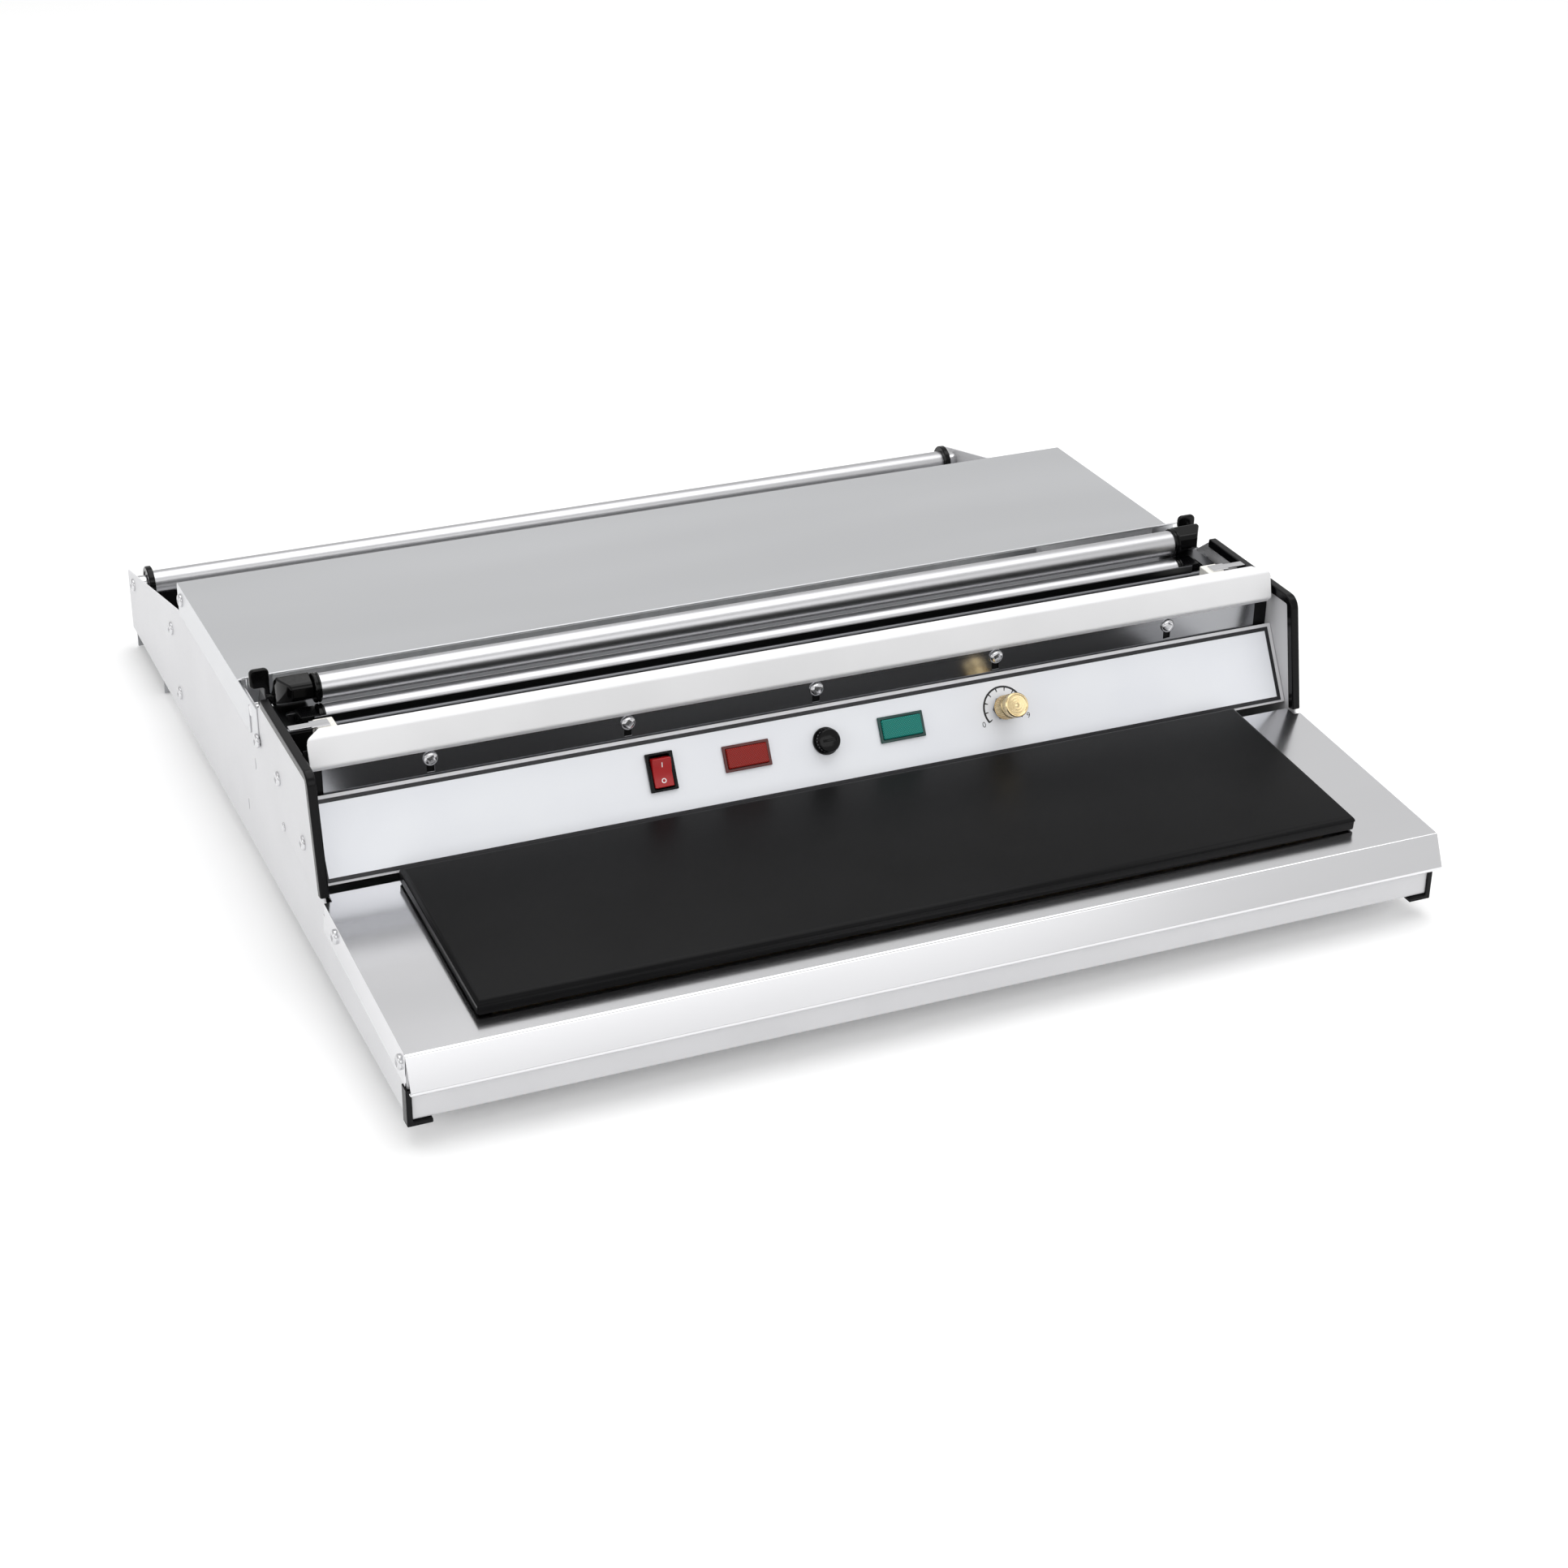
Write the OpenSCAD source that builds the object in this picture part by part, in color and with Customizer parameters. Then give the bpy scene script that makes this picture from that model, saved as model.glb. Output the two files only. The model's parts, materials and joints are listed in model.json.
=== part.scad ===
// Cling film wrapping machine for a bench: a film roll lies on two rollers in the rear bay, the film
// runs under the deck and up between the front rollers, is cut on a hot rod and sealed on a hot plate.
// Sizes are millimetres. Z is up, the operator stands on the -Y side.

/* [Body] */
// Width over the side plates
body_w = 600; // [520:10:700]
// Length of the side plates from front to rear
plate_len = 626; // [600:2:660]
// Thickness of the side plates
plate_t = 1.2; // [1:0.1:1.5]
// Thickness of folded sheets
sheet_t = 1; // [0.8:0.1:1.2]
// Inside radius of the folds
fold_r = 1; // [0.5:0.25:1.5]
// Height of the side plates at the rear end
rear_h = 41.3; // [36:0.5:44]
// Height of the side plates just behind the deck
step_h = 80.5; // [74:0.5:84]
// Width of the flange along the bottom of a side plate
foot_flange = 14; // [10:1:20]
// Height of the floor under the side plates
foot_h = 12; // [9:1:16]

/* [Cheeks] */
// Height of the cheeks
cheek_h = 115.5; // [114:0.5:118]
// Front edge of a cheek at its foot
cheek_foot_y = 146.6; // [140:0.5:148]
// Front edge of a cheek at its top
cheek_bend_y = 160.2; // [156:0.5:164]
// Rear end of a cheek's level top edge
cheek_peak_y = 255; // [245:1:257]
// Rear end of a cheek's chamfer
cheek_end_y = 272; // [268:1:274]
// Radius of a cheek's front corner
cheek_r = 7; // [3:1:10]
// Wall of the rubber edge beside a plate
trim_side = 2; // [1.5:0.1:2.2]
// Wall of the rubber edge over a plate's edge
trim_over = 1.5; // [1:0.1:2]
// Depth that the rubber edge reaches over a plate
trim_depth = 4; // [3:0.25:6]

/* [Tray] */
// Front edge of the tray, ahead of the side plates
tray_out = 1.6; // [1.2:0.1:2.5]
// Height of the tray's front edge
tray_front_h = 39.9; // [38:0.5:42]
// Rise of the tray towards the rear in degrees
tray_tilt = 3.2; // [2.5:0.1:3.5]
// Length of the tray along its slope
tray_len = 153; // [150:1:154]
// Depth of the tray's side flanges
tray_flange = 20; // [16:1:22]
// Forward reach of the apron at its foot
apron_out = 9.2; // [6:0.2:11]
// Drop of the apron
apron_drop = 19.4; // [16:0.5:21]
// Hem at the apron's foot
apron_hem = 5; // [3:0.5:6]

/* [Heating plate] */
// Room between each end of the heating plate and the side plate
heat_side = 41.3; // [40:0.1:60]
// Length of the heating plate along the tray
heat_len = 133; // [120:1:134]
// Height of the heating plate's skirt
heat_skirt = 8; // [7:0.25:9]
// Gap under the skirt
heat_gap = 1.4; // [1:0.1:2]
// Place of the heating plate's front edge along the tray
heat_front = 18.4; // [16:0.5:19]
// Sheet of the heating plate
heat_t = 1.2; // [1:0.1:1.5]
// Outside radius of the heating plate's edges
heat_r = 3; // [2:0.25:4]

/* [Control panel] */
// Lean of the panel from upright in degrees
panel_lean = 30; // [28:0.1:30.2]
// Front face of the panel at its foot
panel_y = 157.4; // [156:0.2:157.6]
// Height of the panel's foot
panel_z = 49.8; // [49.7:0.1:51]
// Height of the panel along its slope
panel_h = 48.1; // [46:0.1:48.2]
// Height of the printed label
label_h = 44.8; // [43:0.2:46]
// Thickness of the printed label
label_t = 0.5; // [0.4:0.1:0.8]

/* [Controls] */
// Place of the rocker switch from the centre
switch_x = -99.2; // [-120:1:-90]
// Place of the red lamp from the centre
power_lamp_x = -47.7; // [-55:0.5:-45]
// Place of the fuse from the centre
fuse_x = 0.9; // [-4:0.2:4]
// Place of the green lamp from the centre
heater_lamp_x = 48.2; // [42:0.5:52]
// Place of the knob from the centre
knob_x = 114; // [100:0.5:120]
// Height of the controls along the panel
control_v = 27.2; // [26:0.2:28.4]
// Diameter of the knob
knob_d = 14.4; // [13:0.2:20]
// Length of the knob
knob_len = 16.5; // [10:0.5:18]

/* [Cutter] */
// Room between each end of the cutter cover and the side plate
cover_side = 3.8; // [2.6:0.1:12]
// Front of the cutter cover at its foot
cover_front_y = 177; // [176:0.2:178]
// Height of the cutter cover's foot
cover_foot_z = 110.5; // [109.5:0.1:111]
// Height of the cutter cover's front fold
cover_top_z = 126.4; // [125:0.1:128]
// Room between each end of the recessed strip and the side plate
strip_side = 11.3; // [9:0.1:24]
// Front face of the recessed strip
strip_y = 182.8; // [182.6:0.1:183.2]
// Number of strip screws
strip_screws_n = 5; // [3:1:7]
// Distance from each end of the strip to its last screw
strip_screw_end = 59.9; // [30:0.1:80]
// Height of the strip screws
strip_screw_z = 101.3; // [100.8:0.1:101.6]
// Outside diameter of the sleeved cutter rod
cutter_d = 9; // [7:0.5:10]

/* [Front rollers] */
// Diameter of the roller tubes
roller_d = 15; // [13:0.5:15.4]
// Room between each end of the front roller tubes and the side plate
front_roller_side = 30.3; // [29:0.1:36]
// Upper roller's centre from the front
upper_y = 254.2; // [252:0.2:256]
// Upper roller's height
upper_z = 119.2; // [119:0.1:121]
// Lower roller's centre from the front
lower_y = 247.2; // [246:0.2:248]
// Lower roller's height
lower_z = 103.9; // [103:0.1:104]
// Height of the guide plate's upper face
guide_z = 105; // [104.5:0.1:105.2]
// Greatest lift of the upper roller's arms in degrees
lift_range = 40; // [20:1:42]

/* [Deck] */
// Front end of the deck's level part
deck_front_y = 312; // [309:1:318]
// Rear edge of the deck
deck_rear_y = 461; // [450:1:470]
// Height of the deck at its rear edge
deck_z = 101.6; // [100.6:0.2:103]
// Forward reach of the deck's raised lip
lip_reach = 12; // [9:0.5:13]
// Rise of the deck's raised lip
lip_rise = 6.5; // [5:0.25:8]

/* [Rear rollers] */
// Room between each end of the rear roller tubes and the side plate
rear_roller_side = 11.3; // [10:0.1:24]
// Rear roller's centre from the front
rear_roller_y = 609; // [605:0.5:612]
// Rear roller's height
rear_roller_z = 37.5; // [35:0.5:39]
// Second film roller's centre from the front
bay_roller_y = 494; // [485:1:500]
// Second film roller's height
bay_roller_z = 56; // [50:0.5:58]
// Diameter of the rear rollers' end discs
cap_d = 22; // [19:0.5:23]

/* [Hidden] */
$fn = 48;

// Clearances and overruns
cut = 1;
fit = 0.05;
seat_gap = 0.3;
arc_steps = 6;

// Faces of the side plates and the sheets laid outside them
half_w = body_w / 2;
inner_w = half_w - plate_t;
outer_w = half_w + sheet_t;

// Half lengths of what runs from side to side
heat_w = 2 * (inner_w - heat_side);
cover_half = inner_w - cover_side;
strip_half = inner_w - strip_side;
front_half = inner_w - front_roller_side;
rear_half = inner_w - rear_roller_side;

// Whole object, for its origin
front_reach = tray_out + apron_out;
depth_mid = (plate_len - front_reach) / 2;

// Screws through the side plates, as places from front and bottom
screw_r = 2;
screw_hole_r = 2.2;
screw_len = 5;
head_r = 4.2;
head_h = 2.2;
panel_screw = [182.7, 64.4];
channel_screw = [231, 79.5];
wall_screw = [271, 84];
rail_screw = [483.6, 16];
dome_screw = [226, 52];
side_screw_places = [panel_screw, channel_screw, wall_screw, rail_screw];
tray_screw_places = [[8, 31], [123, 39]];
deck_screw_place = [452, 93];
tray_screw_len = 4;

// Tray values
tray_rise = tan(tray_tilt);
function tray_top(y) = tray_front_h + (y + tray_out) * tray_rise;
function tray_under(y) = tray_top(y) - sheet_t / cos(tray_tilt) - fit;

// Deck values
deck_fall = 0.012;
function deck_top(y) = deck_z + (deck_rear_y - y) * deck_fall;
function deck_under(y) = deck_top(y) - sheet_t * norm([1, deck_fall]) - fit;
hook_lap = 15;
deck_flange_foot = step_h;
deck_hem = 12;
deck_bend_foot = deck_z - fold_r - 2 * sheet_t;
hook_w = 7;

// Rules for folded sheets
function unit(v) = v / norm(v);
function turn_left(v) = [-v[1], v[0]];
function mitre(p, i) = let (
    n = len(p),
    a = i > 0 ? unit(p[i] - p[i - 1]) : unit(p[i + 1] - p[i]),
    b = i < n - 1 ? unit(p[i + 1] - p[i]) : a,
    m = turn_left(a) + turn_left(b)) m * 2 / (m * m);
function folded(p, t) = concat(p, [for (i = [len(p) - 1 : -1 : 0]) p[i] + t * mitre(p, i)]);
function swing(a) = a > 180 ? a - 360 : (a < -180 ? a + 360 : a);
function rounded_corner(p, q, s, r) = let (
    a = unit(p - q), b = unit(s - q),
    half = acos(a * b) / 2,
    c = q + unit(a + b) * r / sin(half),
    from = q + a * r / tan(half), to = q + b * r / tan(half),
    a0 = atan2(from[1] - c[1], from[0] - c[0]),
    a1 = atan2(to[1] - c[1], to[0] - c[0]))
    [for (k = [0 : arc_steps]) c + r * [cos(a0 + swing(a1 - a0) * k / arc_steps),
        sin(a0 + swing(a1 - a0) * k / arc_steps)]];
function bent(p, r) = concat([p[0]],
    [for (i = [1 : len(p) - 2]) each rounded_corner(p[i - 1], p[i], p[i + 1], r)],
    [p[len(p) - 1]]);
bend_out = fold_r + sheet_t;

// Placing helpers. A profile's first axis runs to the rear and its second runs up.
module placed() translate([0, -depth_mid, foot_h]) children();
module across(half) rotate([90, 0, 90]) linear_extrude(height = 2 * half, center = true) children();
module across_from(x0, x1)
    translate([x0, 0, 0]) rotate([90, 0, 90]) linear_extrude(height = x1 - x0) children();
module rod_x(x0, x1, place, r)
    translate([x0, place[0], place[1]]) rotate([0, 90, 0]) cylinder(h = x1 - x0, r = r);
module both_sides() {
    children();
    mirror([1, 0, 0]) children();
}
module box(from, to) translate(from) cube(to - from);
module on_tray() translate([0, -tray_out, tray_front_h]) rotate([tray_tilt, 0, 0]) children();
module on_panel() translate([0, panel_y, panel_z]) rotate([90 - panel_lean, 0, 0]) children();

// A pan head with a rounded crown, its seat at the origin and its crown along +Z
module pan_head(r, h) rotate_extrude() polygon(concat([[0, 0], [r, 0]],
    [for (k = [0 : arc_steps]) [r * cos(90 * k / arc_steps), h * (0.35 + 0.65 * sin(90 * k / arc_steps))]]));
module side_screw(place, seat_x, shank) {
    translate([seat_x, place[0], place[1]]) rotate([0, 90, 0]) pan_head(head_r, head_h);
    rod_x(seat_x - shank, seat_x + fit, place, screw_r);
}
module side_screw_bores(places) for (p = places) rod_x(-half_w * 2, half_w * 2, p, screw_hole_r);

// Side plates
slot_marks = [[284.8, 58.5], [310.4, 20]];
slot_mark_w = 1.6;
slot_mark_h = 7;
lift_pivot = [285, 96];
lift_pin_r = 2.5;
roller_pin_r = 3;
module plate_outline() polygon(concat(
    [[sheet_t, 0], [sheet_t, tray_under(sheet_t)], [cheek_foot_y, tray_under(cheek_foot_y)]],
    rounded_corner([cheek_foot_y, tray_under(cheek_foot_y)], [cheek_bend_y, cheek_h],
        [cheek_peak_y, cheek_h], cheek_r),
    [[cheek_peak_y, cheek_h], [cheek_end_y, deck_under(cheek_end_y)],
    [deck_rear_y - bend_out, deck_under(deck_rear_y - bend_out)],
    [deck_rear_y - sheet_t, deck_top(deck_rear_y) - bend_out],
    [deck_rear_y - sheet_t, deck_bend_foot], [deck_rear_y, deck_bend_foot], [deck_rear_y, step_h],
    [plate_len, rear_h], [plate_len, 0]]));
module side_plate() {
    difference() {
        across_from(inner_w, half_w) plate_outline();
        side_screw_bores(side_screw_places);
        side_screw_bores(tray_screw_places);
        side_screw_bores([deck_screw_place, dome_screw]);
        rod_x(0, body_w, lift_pivot, lift_pin_r + fit);
        rod_x(0, body_w, [rear_roller_y, rear_roller_z], roller_pin_r + fit);
        rod_x(0, body_w, [bay_roller_y, bay_roller_z], roller_pin_r + fit);
        for (m = slot_marks) box([0, m[0], m[1]], [body_w, m[0] + slot_mark_w, m[1] + slot_mark_h]);
    }
    box([inner_w - foot_flange, panel_flange + seat_gap, 0], [inner_w, channel_front - seat_gap, sheet_t]);
}
module side_plate_right() color("#d9d9db") placed() side_plate();
module side_plate_left() color("#d9d9db") placed() mirror([1, 0, 0]) side_plate();

// Rubber edge on the cheeks
trim_foot_z = tray_top(cheek_foot_y) + sheet_t;
module trim_band() {
    foot = [cheek_foot_y + (trim_foot_z - tray_under(cheek_foot_y)) * (cheek_bend_y - cheek_foot_y)
        / (cheek_h - tray_under(cheek_foot_y)), trim_foot_z];
    line = concat([foot], rounded_corner(foot, [cheek_bend_y, cheek_h], [cheek_peak_y, cheek_h], cheek_r),
        [[cheek_peak_y, cheek_h]]);
    outer = [for (i = [0 : len(line) - 1]) line[i] + trim_over * mitre(line, i)];
    sharp = [[cheek_peak_y, cheek_h], [cheek_bend_y, cheek_h], foot];
    inner = [for (i = [0 : len(sharp) - 1]) sharp[i] + trim_depth * mitre(sharp, i)];
    polygon(concat(outer, inner));
}
module cheek_trim() difference() {
    across_from(inner_w - trim_side, half_w + trim_side) trim_band();
    across_from(inner_w, half_w) plate_outline();
}
module cheek_trim_right() color("#141416") placed() cheek_trim();
module cheek_trim_left() color("#141416") placed() mirror([1, 0, 0]) cheek_trim();

// Rubber corners of the base
corner_h = 19.6;
corner_side = 1.6;
corner_front = 1.5;
corner_in = 12;
corner_back = 6;
corner_foot = 2.5;
module corner_trims() color("#141416") placed() both_sides() {
    box([half_w, -corner_front, -corner_foot], [half_w + corner_side, corner_back, corner_h]);
    box([half_w - corner_in, -corner_front, -corner_foot], [half_w, corner_back, 0]);
    box([half_w - corner_side, -corner_front, -corner_foot], [half_w, 0, corner_h]);
}

// Base
panel_flange = 14;
module front_panel() color("#dcdcde") placed() across(inner_w)
    polygon(folded(bent([[panel_flange, 0], [0, 0], [0, tray_under(0)],
        [panel_flange, tray_under(panel_flange)]], bend_out), -sheet_t));
pan_front = 16;
pan_rear = 262;
vent_n = 6;
vent_w = 4;
vent_len = 40;
vent_pitch = 14;
vent_side = 208.8;
vent_x = inner_w - vent_side;
vent_y = 190;
module base_pan() color("#b8b8ba") placed() difference() {
    box([-inner_w + foot_flange + seat_gap, pan_front, 0], [inner_w - foot_flange - seat_gap, pan_rear, sheet_t]);
    for (i = [0 : vent_n - 1]) box([vent_x + i * vent_pitch, vent_y, -cut],
        [vent_x + i * vent_pitch + vent_w, vent_y + vent_len, sheet_t + cut]);
}
foot_d = 24;
foot_side = 58.8;
foot_x = inner_w - foot_side;
foot_y = 48;
foot_chamfer = 2;
module front_feet() color("#1b1b1d") placed() both_sides() translate([foot_x, foot_y, -foot_h])
    rotate_extrude() polygon([[0, 0], [foot_d / 2 - foot_chamfer, 0], [foot_d / 2, foot_chamfer],
        [foot_d / 2, foot_h], [0, foot_h]]);
wall_y = 263;
wall_top = guide_z - sheet_t;
wall_flange = 14;
wall_top_flange = 6;
gland_side = 88.8;
gland_z = 24;
gland_place = [inner_w - gland_side, gland_z];
gland_bore_r = 8;
module inner_wall() color("#c4c4c6") placed() difference() {
    union() {
        across(inner_w) polygon(folded(bent([[wall_y + wall_flange, sheet_t + fit], [wall_y, sheet_t + fit],
            [wall_y, wall_top - sheet_t], [wall_y - wall_top_flange, wall_top - sheet_t]], bend_out), -sheet_t));
        both_sides() box([inner_w - sheet_t, wall_y + sheet_t, wall_flange],
            [inner_w, wall_y + wall_flange + sheet_t, wall_top - wall_flange]);
    }
    side_screw_bores([wall_screw]);
    translate([gland_place[0], wall_y - cut, gland_place[1]]) rotate([-90, 0, 0])
        cylinder(h = sheet_t + 2 * cut, r = gland_bore_r + fit);
}
rail_y = 478;
rail_z = 6;
rail_w = 12;
rail_h = 20;
module cross_rail() color("#c4c4c6") placed() difference() {
    union() {
        across(inner_w) polygon(folded(bent([[rail_y + rail_w, rail_z], [rail_y, rail_z],
            [rail_y, rail_z + rail_h], [rail_y + rail_w, rail_z + rail_h]], bend_out), -sheet_t));
        both_sides() box([inner_w - sheet_t, rail_y + sheet_t, rail_z + sheet_t],
            [inner_w, rail_y + rail_w, rail_z + rail_h - sheet_t]);
    }
    side_screw_bores([rail_screw]);
}
channel_front = 543;
channel_rear = 621;
module rear_channel() color("#bcbcbe") placed() across(inner_w)
    polygon(folded(bent([[channel_front, -foot_h], [channel_front, sheet_t],
        [channel_rear, sheet_t], [channel_rear, -foot_h]], bend_out), -sheet_t));
wall_back_h = 27;
module rear_wall() color("#5a5a5c") placed() across(inner_w)
    polygon(folded(bent([[channel_rear - wall_flange, sheet_t], [channel_rear + sheet_t, sheet_t],
        [channel_rear + sheet_t, wall_back_h]], bend_out), sheet_t));

// Tray
module tray() color("#c9c9cb") placed() difference() {
    union() {
        across(outer_w) polygon(folded(bent([
            [-tray_out - apron_out + apron_hem, tray_front_h - apron_drop - sheet_t],
            [-tray_out - apron_out, tray_front_h - apron_drop],
            [-tray_out, tray_front_h],
            [-tray_out + tray_len * cos(tray_tilt), tray_front_h + tray_len * sin(tray_tilt)]],
            bend_out), -sheet_t));
        both_sides() across_from(half_w, outer_w) polygon([[0, tray_top(0) - sheet_t / 2],
            [cheek_foot_y, tray_top(cheek_foot_y) - sheet_t / 2],
            [cheek_foot_y, tray_top(cheek_foot_y) - tray_flange],
            [tray_out, tray_top(0) - tray_flange]]);
    }
    side_screw_bores(tray_screw_places);
    both_sides() box([inner_w - trim_side - seat_gap, cheek_foot_y - trim_over * 2, tray_front_h],
        [outer_w + trim_side + cut, tray_len + cut, cheek_h]);
}
module tray_screws() color("#dedede") placed() both_sides()
    for (p = tray_screw_places) side_screw(p, outer_w, tray_screw_len);

// Heating plate: a folded lid with a flat heater under it, standing on posts on the tray
mat_t = 1.2;
pad_t = 2.5;
post_r = 4;
post_h = heat_gap + heat_skirt - heat_t - mat_t - pad_t;
mat_inset = 12;
post_side = 57.5;
post_x = [post_side - heat_w / 2, 0, heat_w / 2 - post_side];
post_y_share = [0.2, 0.8];
function lid_profile(len, r, drop) = concat([[0, -drop]],
    rounded_corner([0, -drop], [0, 0], [len, 0], r), rounded_corner([0, 0], [len, 0], [len, -drop], r),
    [[len, -drop]]);
module lid(w, len, r, drop) intersection() {
    across(w / 2) polygon(lid_profile(len, r, drop));
    rotate([90, 0, 0]) translate([-w / 2, 0, -len]) linear_extrude(height = len)
        polygon(lid_profile(w, r, drop));
}
module heating_plate() color("#1c1c1d") placed() on_tray()
    translate([0, heat_front, heat_gap + heat_skirt]) difference() {
        lid(heat_w, heat_len, heat_r, heat_skirt);
        translate([0, heat_t, -heat_t]) lid(heat_w - 2 * heat_t, heat_len - 2 * heat_t, heat_r - heat_t,
            heat_skirt + cut);
    }
module under_lid(inset, top, t) translate([0, heat_front, heat_gap + heat_skirt - heat_t - top])
    box([-heat_w / 2 + inset, inset, -t], [heat_w / 2 - inset, heat_len - inset, 0]);
module heater_mat() color("#b9a27a") placed() on_tray() under_lid(mat_inset, 0, mat_t);
module insulation_pad() color("#d8d4c8") placed() on_tray() under_lid(mat_inset, mat_t, pad_t);
module heater_posts() color("#9a9a9c") placed() on_tray() for (x = post_x) for (s = post_y_share)
    translate([x, heat_front + s * heat_len, 0]) cylinder(h = post_h, r = post_r);

// Control panel. On it, x runs along the panel, y runs up its face and z stands out of it.
panel_half = inner_w - seat_gap;
module panel_sheet(h0, h1, side, t) box([-panel_half + side, h0, 0], [panel_half - side, h1, t]);
label_side = 2.7;
label_v = 1.3;
switch_w = 16.2;
switch_h = 21.8;
switch_body_w = 14.8;
switch_body_h = 20.4;
lamp_w = 28.2;
lamp_h = 15;
lamp_body_w = 26.4;
lamp_body_h = 13.4;
fuse_barrel_r = 6;
regulator_neck_r = 4.5;
bracket_v = [10, 32];
bracket_w = 15.7;
bracket_end = inner_w - fit;
bracket_back = 30;
module control_cuts(t0, t1) {
    translate([switch_x, control_v, 0]) box([-switch_body_w / 2 - fit, -switch_body_h / 2 - fit, t0],
        [switch_body_w / 2 + fit, switch_body_h / 2 + fit, t1]);
    for (x = [power_lamp_x, heater_lamp_x]) translate([x, control_v, 0])
        box([-lamp_body_w / 2 - fit, -lamp_body_h / 2 - fit, t0], [lamp_body_w / 2 + fit, lamp_body_h / 2 + fit, t1]);
    translate([fuse_x, control_v, t0]) cylinder(h = t1 - t0, r = fuse_barrel_r + fit);
    translate([knob_x, control_v, t0]) cylinder(h = t1 - t0, r = regulator_neck_r + fit);
}
module control_panel() color("#e2e2e4") placed() on_panel() difference() {
    translate([0, 0, -sheet_t]) panel_sheet(0, panel_h, 0, sheet_t);
    control_cuts(-sheet_t - cut, cut);
}
module panel_angles() color("#b8b8ba") placed() difference() {
    on_panel() both_sides() {
        box([bracket_end - bracket_w, bracket_v[0], -2 * sheet_t], [bracket_end, bracket_v[1], -sheet_t]);
        box([bracket_end - sheet_t, bracket_v[0], -bracket_back], [bracket_end, bracket_v[1], -2 * sheet_t]);
    }
    side_screw_bores([panel_screw]);
}
module panel_label() color("#e4e6eb") placed() on_panel() difference() {
    panel_sheet(label_v, label_v + label_h, label_side, label_t);
    control_cuts(-cut, label_t + cut);
}

// Rocker switch
bezel_t = 1.8;
rocker_half = 8.2;
rocker_w = 11.2;
rocker_gap = 0.3;
rocker_window = 9.4;
rocker_depth = 8;
rocker_pin_r = 1;
rocker_pin_out = 1;
rocker_axis = -0.4;
rocker_rest = 10;
rocker_ear = 4.6;
rocker_dip = 3.2;
switch_depth = 15;
module switch_body() color("#101011") placed() on_panel() translate([switch_x, control_v, label_t])
    difference() {
        union() {
            box([-switch_w / 2, -switch_h / 2, 0], [switch_w / 2, switch_h / 2, bezel_t]);
            box([-switch_body_w / 2, -switch_body_h / 2, -switch_depth], [switch_body_w / 2, switch_body_h / 2, 0]);
        }
        box([-rocker_w / 2 - rocker_gap, -rocker_window, rocker_axis - rocker_depth],
            [rocker_w / 2 + rocker_gap, rocker_window, bezel_t + cut]);
        rod_x(-rocker_w / 2 - rocker_pin_out - rocker_gap, rocker_w / 2 + rocker_pin_out + rocker_gap,
            [0, rocker_axis], rocker_pin_r + fit);
    }
module rocker() color("#b0191b") placed() on_panel()
    translate([switch_x, control_v, label_t + rocker_axis]) rotate([rocker_rest, 0, 0]) {
        across(rocker_w / 2) polygon([[-rocker_half, rocker_ear], [-rocker_half, -rocker_pin_r],
            [-rocker_half / 2, -rocker_half * 0.6], [rocker_half / 2, -rocker_half * 0.6],
            [rocker_half, -rocker_pin_r], [rocker_half, rocker_ear], [0, rocker_dip]]);
        rod_x(-rocker_w / 2 - rocker_pin_out, rocker_w / 2 + rocker_pin_out, [0, 0], rocker_pin_r);
    }

// Lamps: a black frame with a clear lens set in it
lens_w = 24.6;
lens_h = 11.4;
lens_out = 2.6;
lamp_frame_t = 1.4;
lamp_depth = 20;
lens_depth = 5;
module lamp_body() difference() {
    union() {
        box([-lamp_w / 2, -lamp_h / 2, 0], [lamp_w / 2, lamp_h / 2, lamp_frame_t]);
        box([-lamp_body_w / 2, -lamp_body_h / 2, -lamp_depth], [lamp_body_w / 2, lamp_body_h / 2, 0]);
    }
    box([-lens_w / 2, -lens_h / 2, -lens_depth], [lens_w / 2, lens_h / 2, lamp_frame_t + cut]);
}
module lamp_lens() box([-lens_w / 2, -lens_h / 2, -lens_depth], [lens_w / 2, lens_h / 2, lens_out]);
module power_lamp_body() color("#141414") placed() on_panel()
    translate([power_lamp_x, control_v, label_t]) lamp_body();
module power_lamp_lens() color("#8b1e12") placed() on_panel()
    translate([power_lamp_x, control_v, label_t]) lamp_lens();
module heater_lamp_body() color("#141414") placed() on_panel()
    translate([heater_lamp_x, control_v, label_t]) lamp_body();
module heater_lamp_lens() color("#12706a") placed() on_panel()
    translate([heater_lamp_x, control_v, label_t]) lamp_lens();

// Fuse holder with its turning cap
fuse_flange_r = 8;
fuse_flange_t = 1.6;
fuse_nut_r = 8.5;
fuse_nut_t = 2.5;
fuse_depth = 30;
fuse_bore_r = 4;
cap_head_r = 7;
cap_head_h = 5;
cap_stem = 8;
cap_slot_w = 1.4;
cap_slot_d = 1.2;
fuse_r = 2.5;
fuse_len = 20;
module fuse_holder() color("#131314") placed() on_panel() translate([fuse_x, control_v, label_t])
    difference() {
        union() {
            cylinder(h = fuse_flange_t, r = fuse_flange_r);
            translate([0, 0, -fuse_depth]) cylinder(h = fuse_depth + fuse_flange_t, r = fuse_barrel_r);
            translate([0, 0, -label_t - sheet_t - fuse_nut_t]) cylinder(h = fuse_nut_t, r = fuse_nut_r, $fn = 6);
        }
        translate([0, 0, -fuse_depth + 2 * sheet_t]) cylinder(h = fuse_depth + fuse_flange_t, r = fuse_bore_r + fit);
    }
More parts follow.
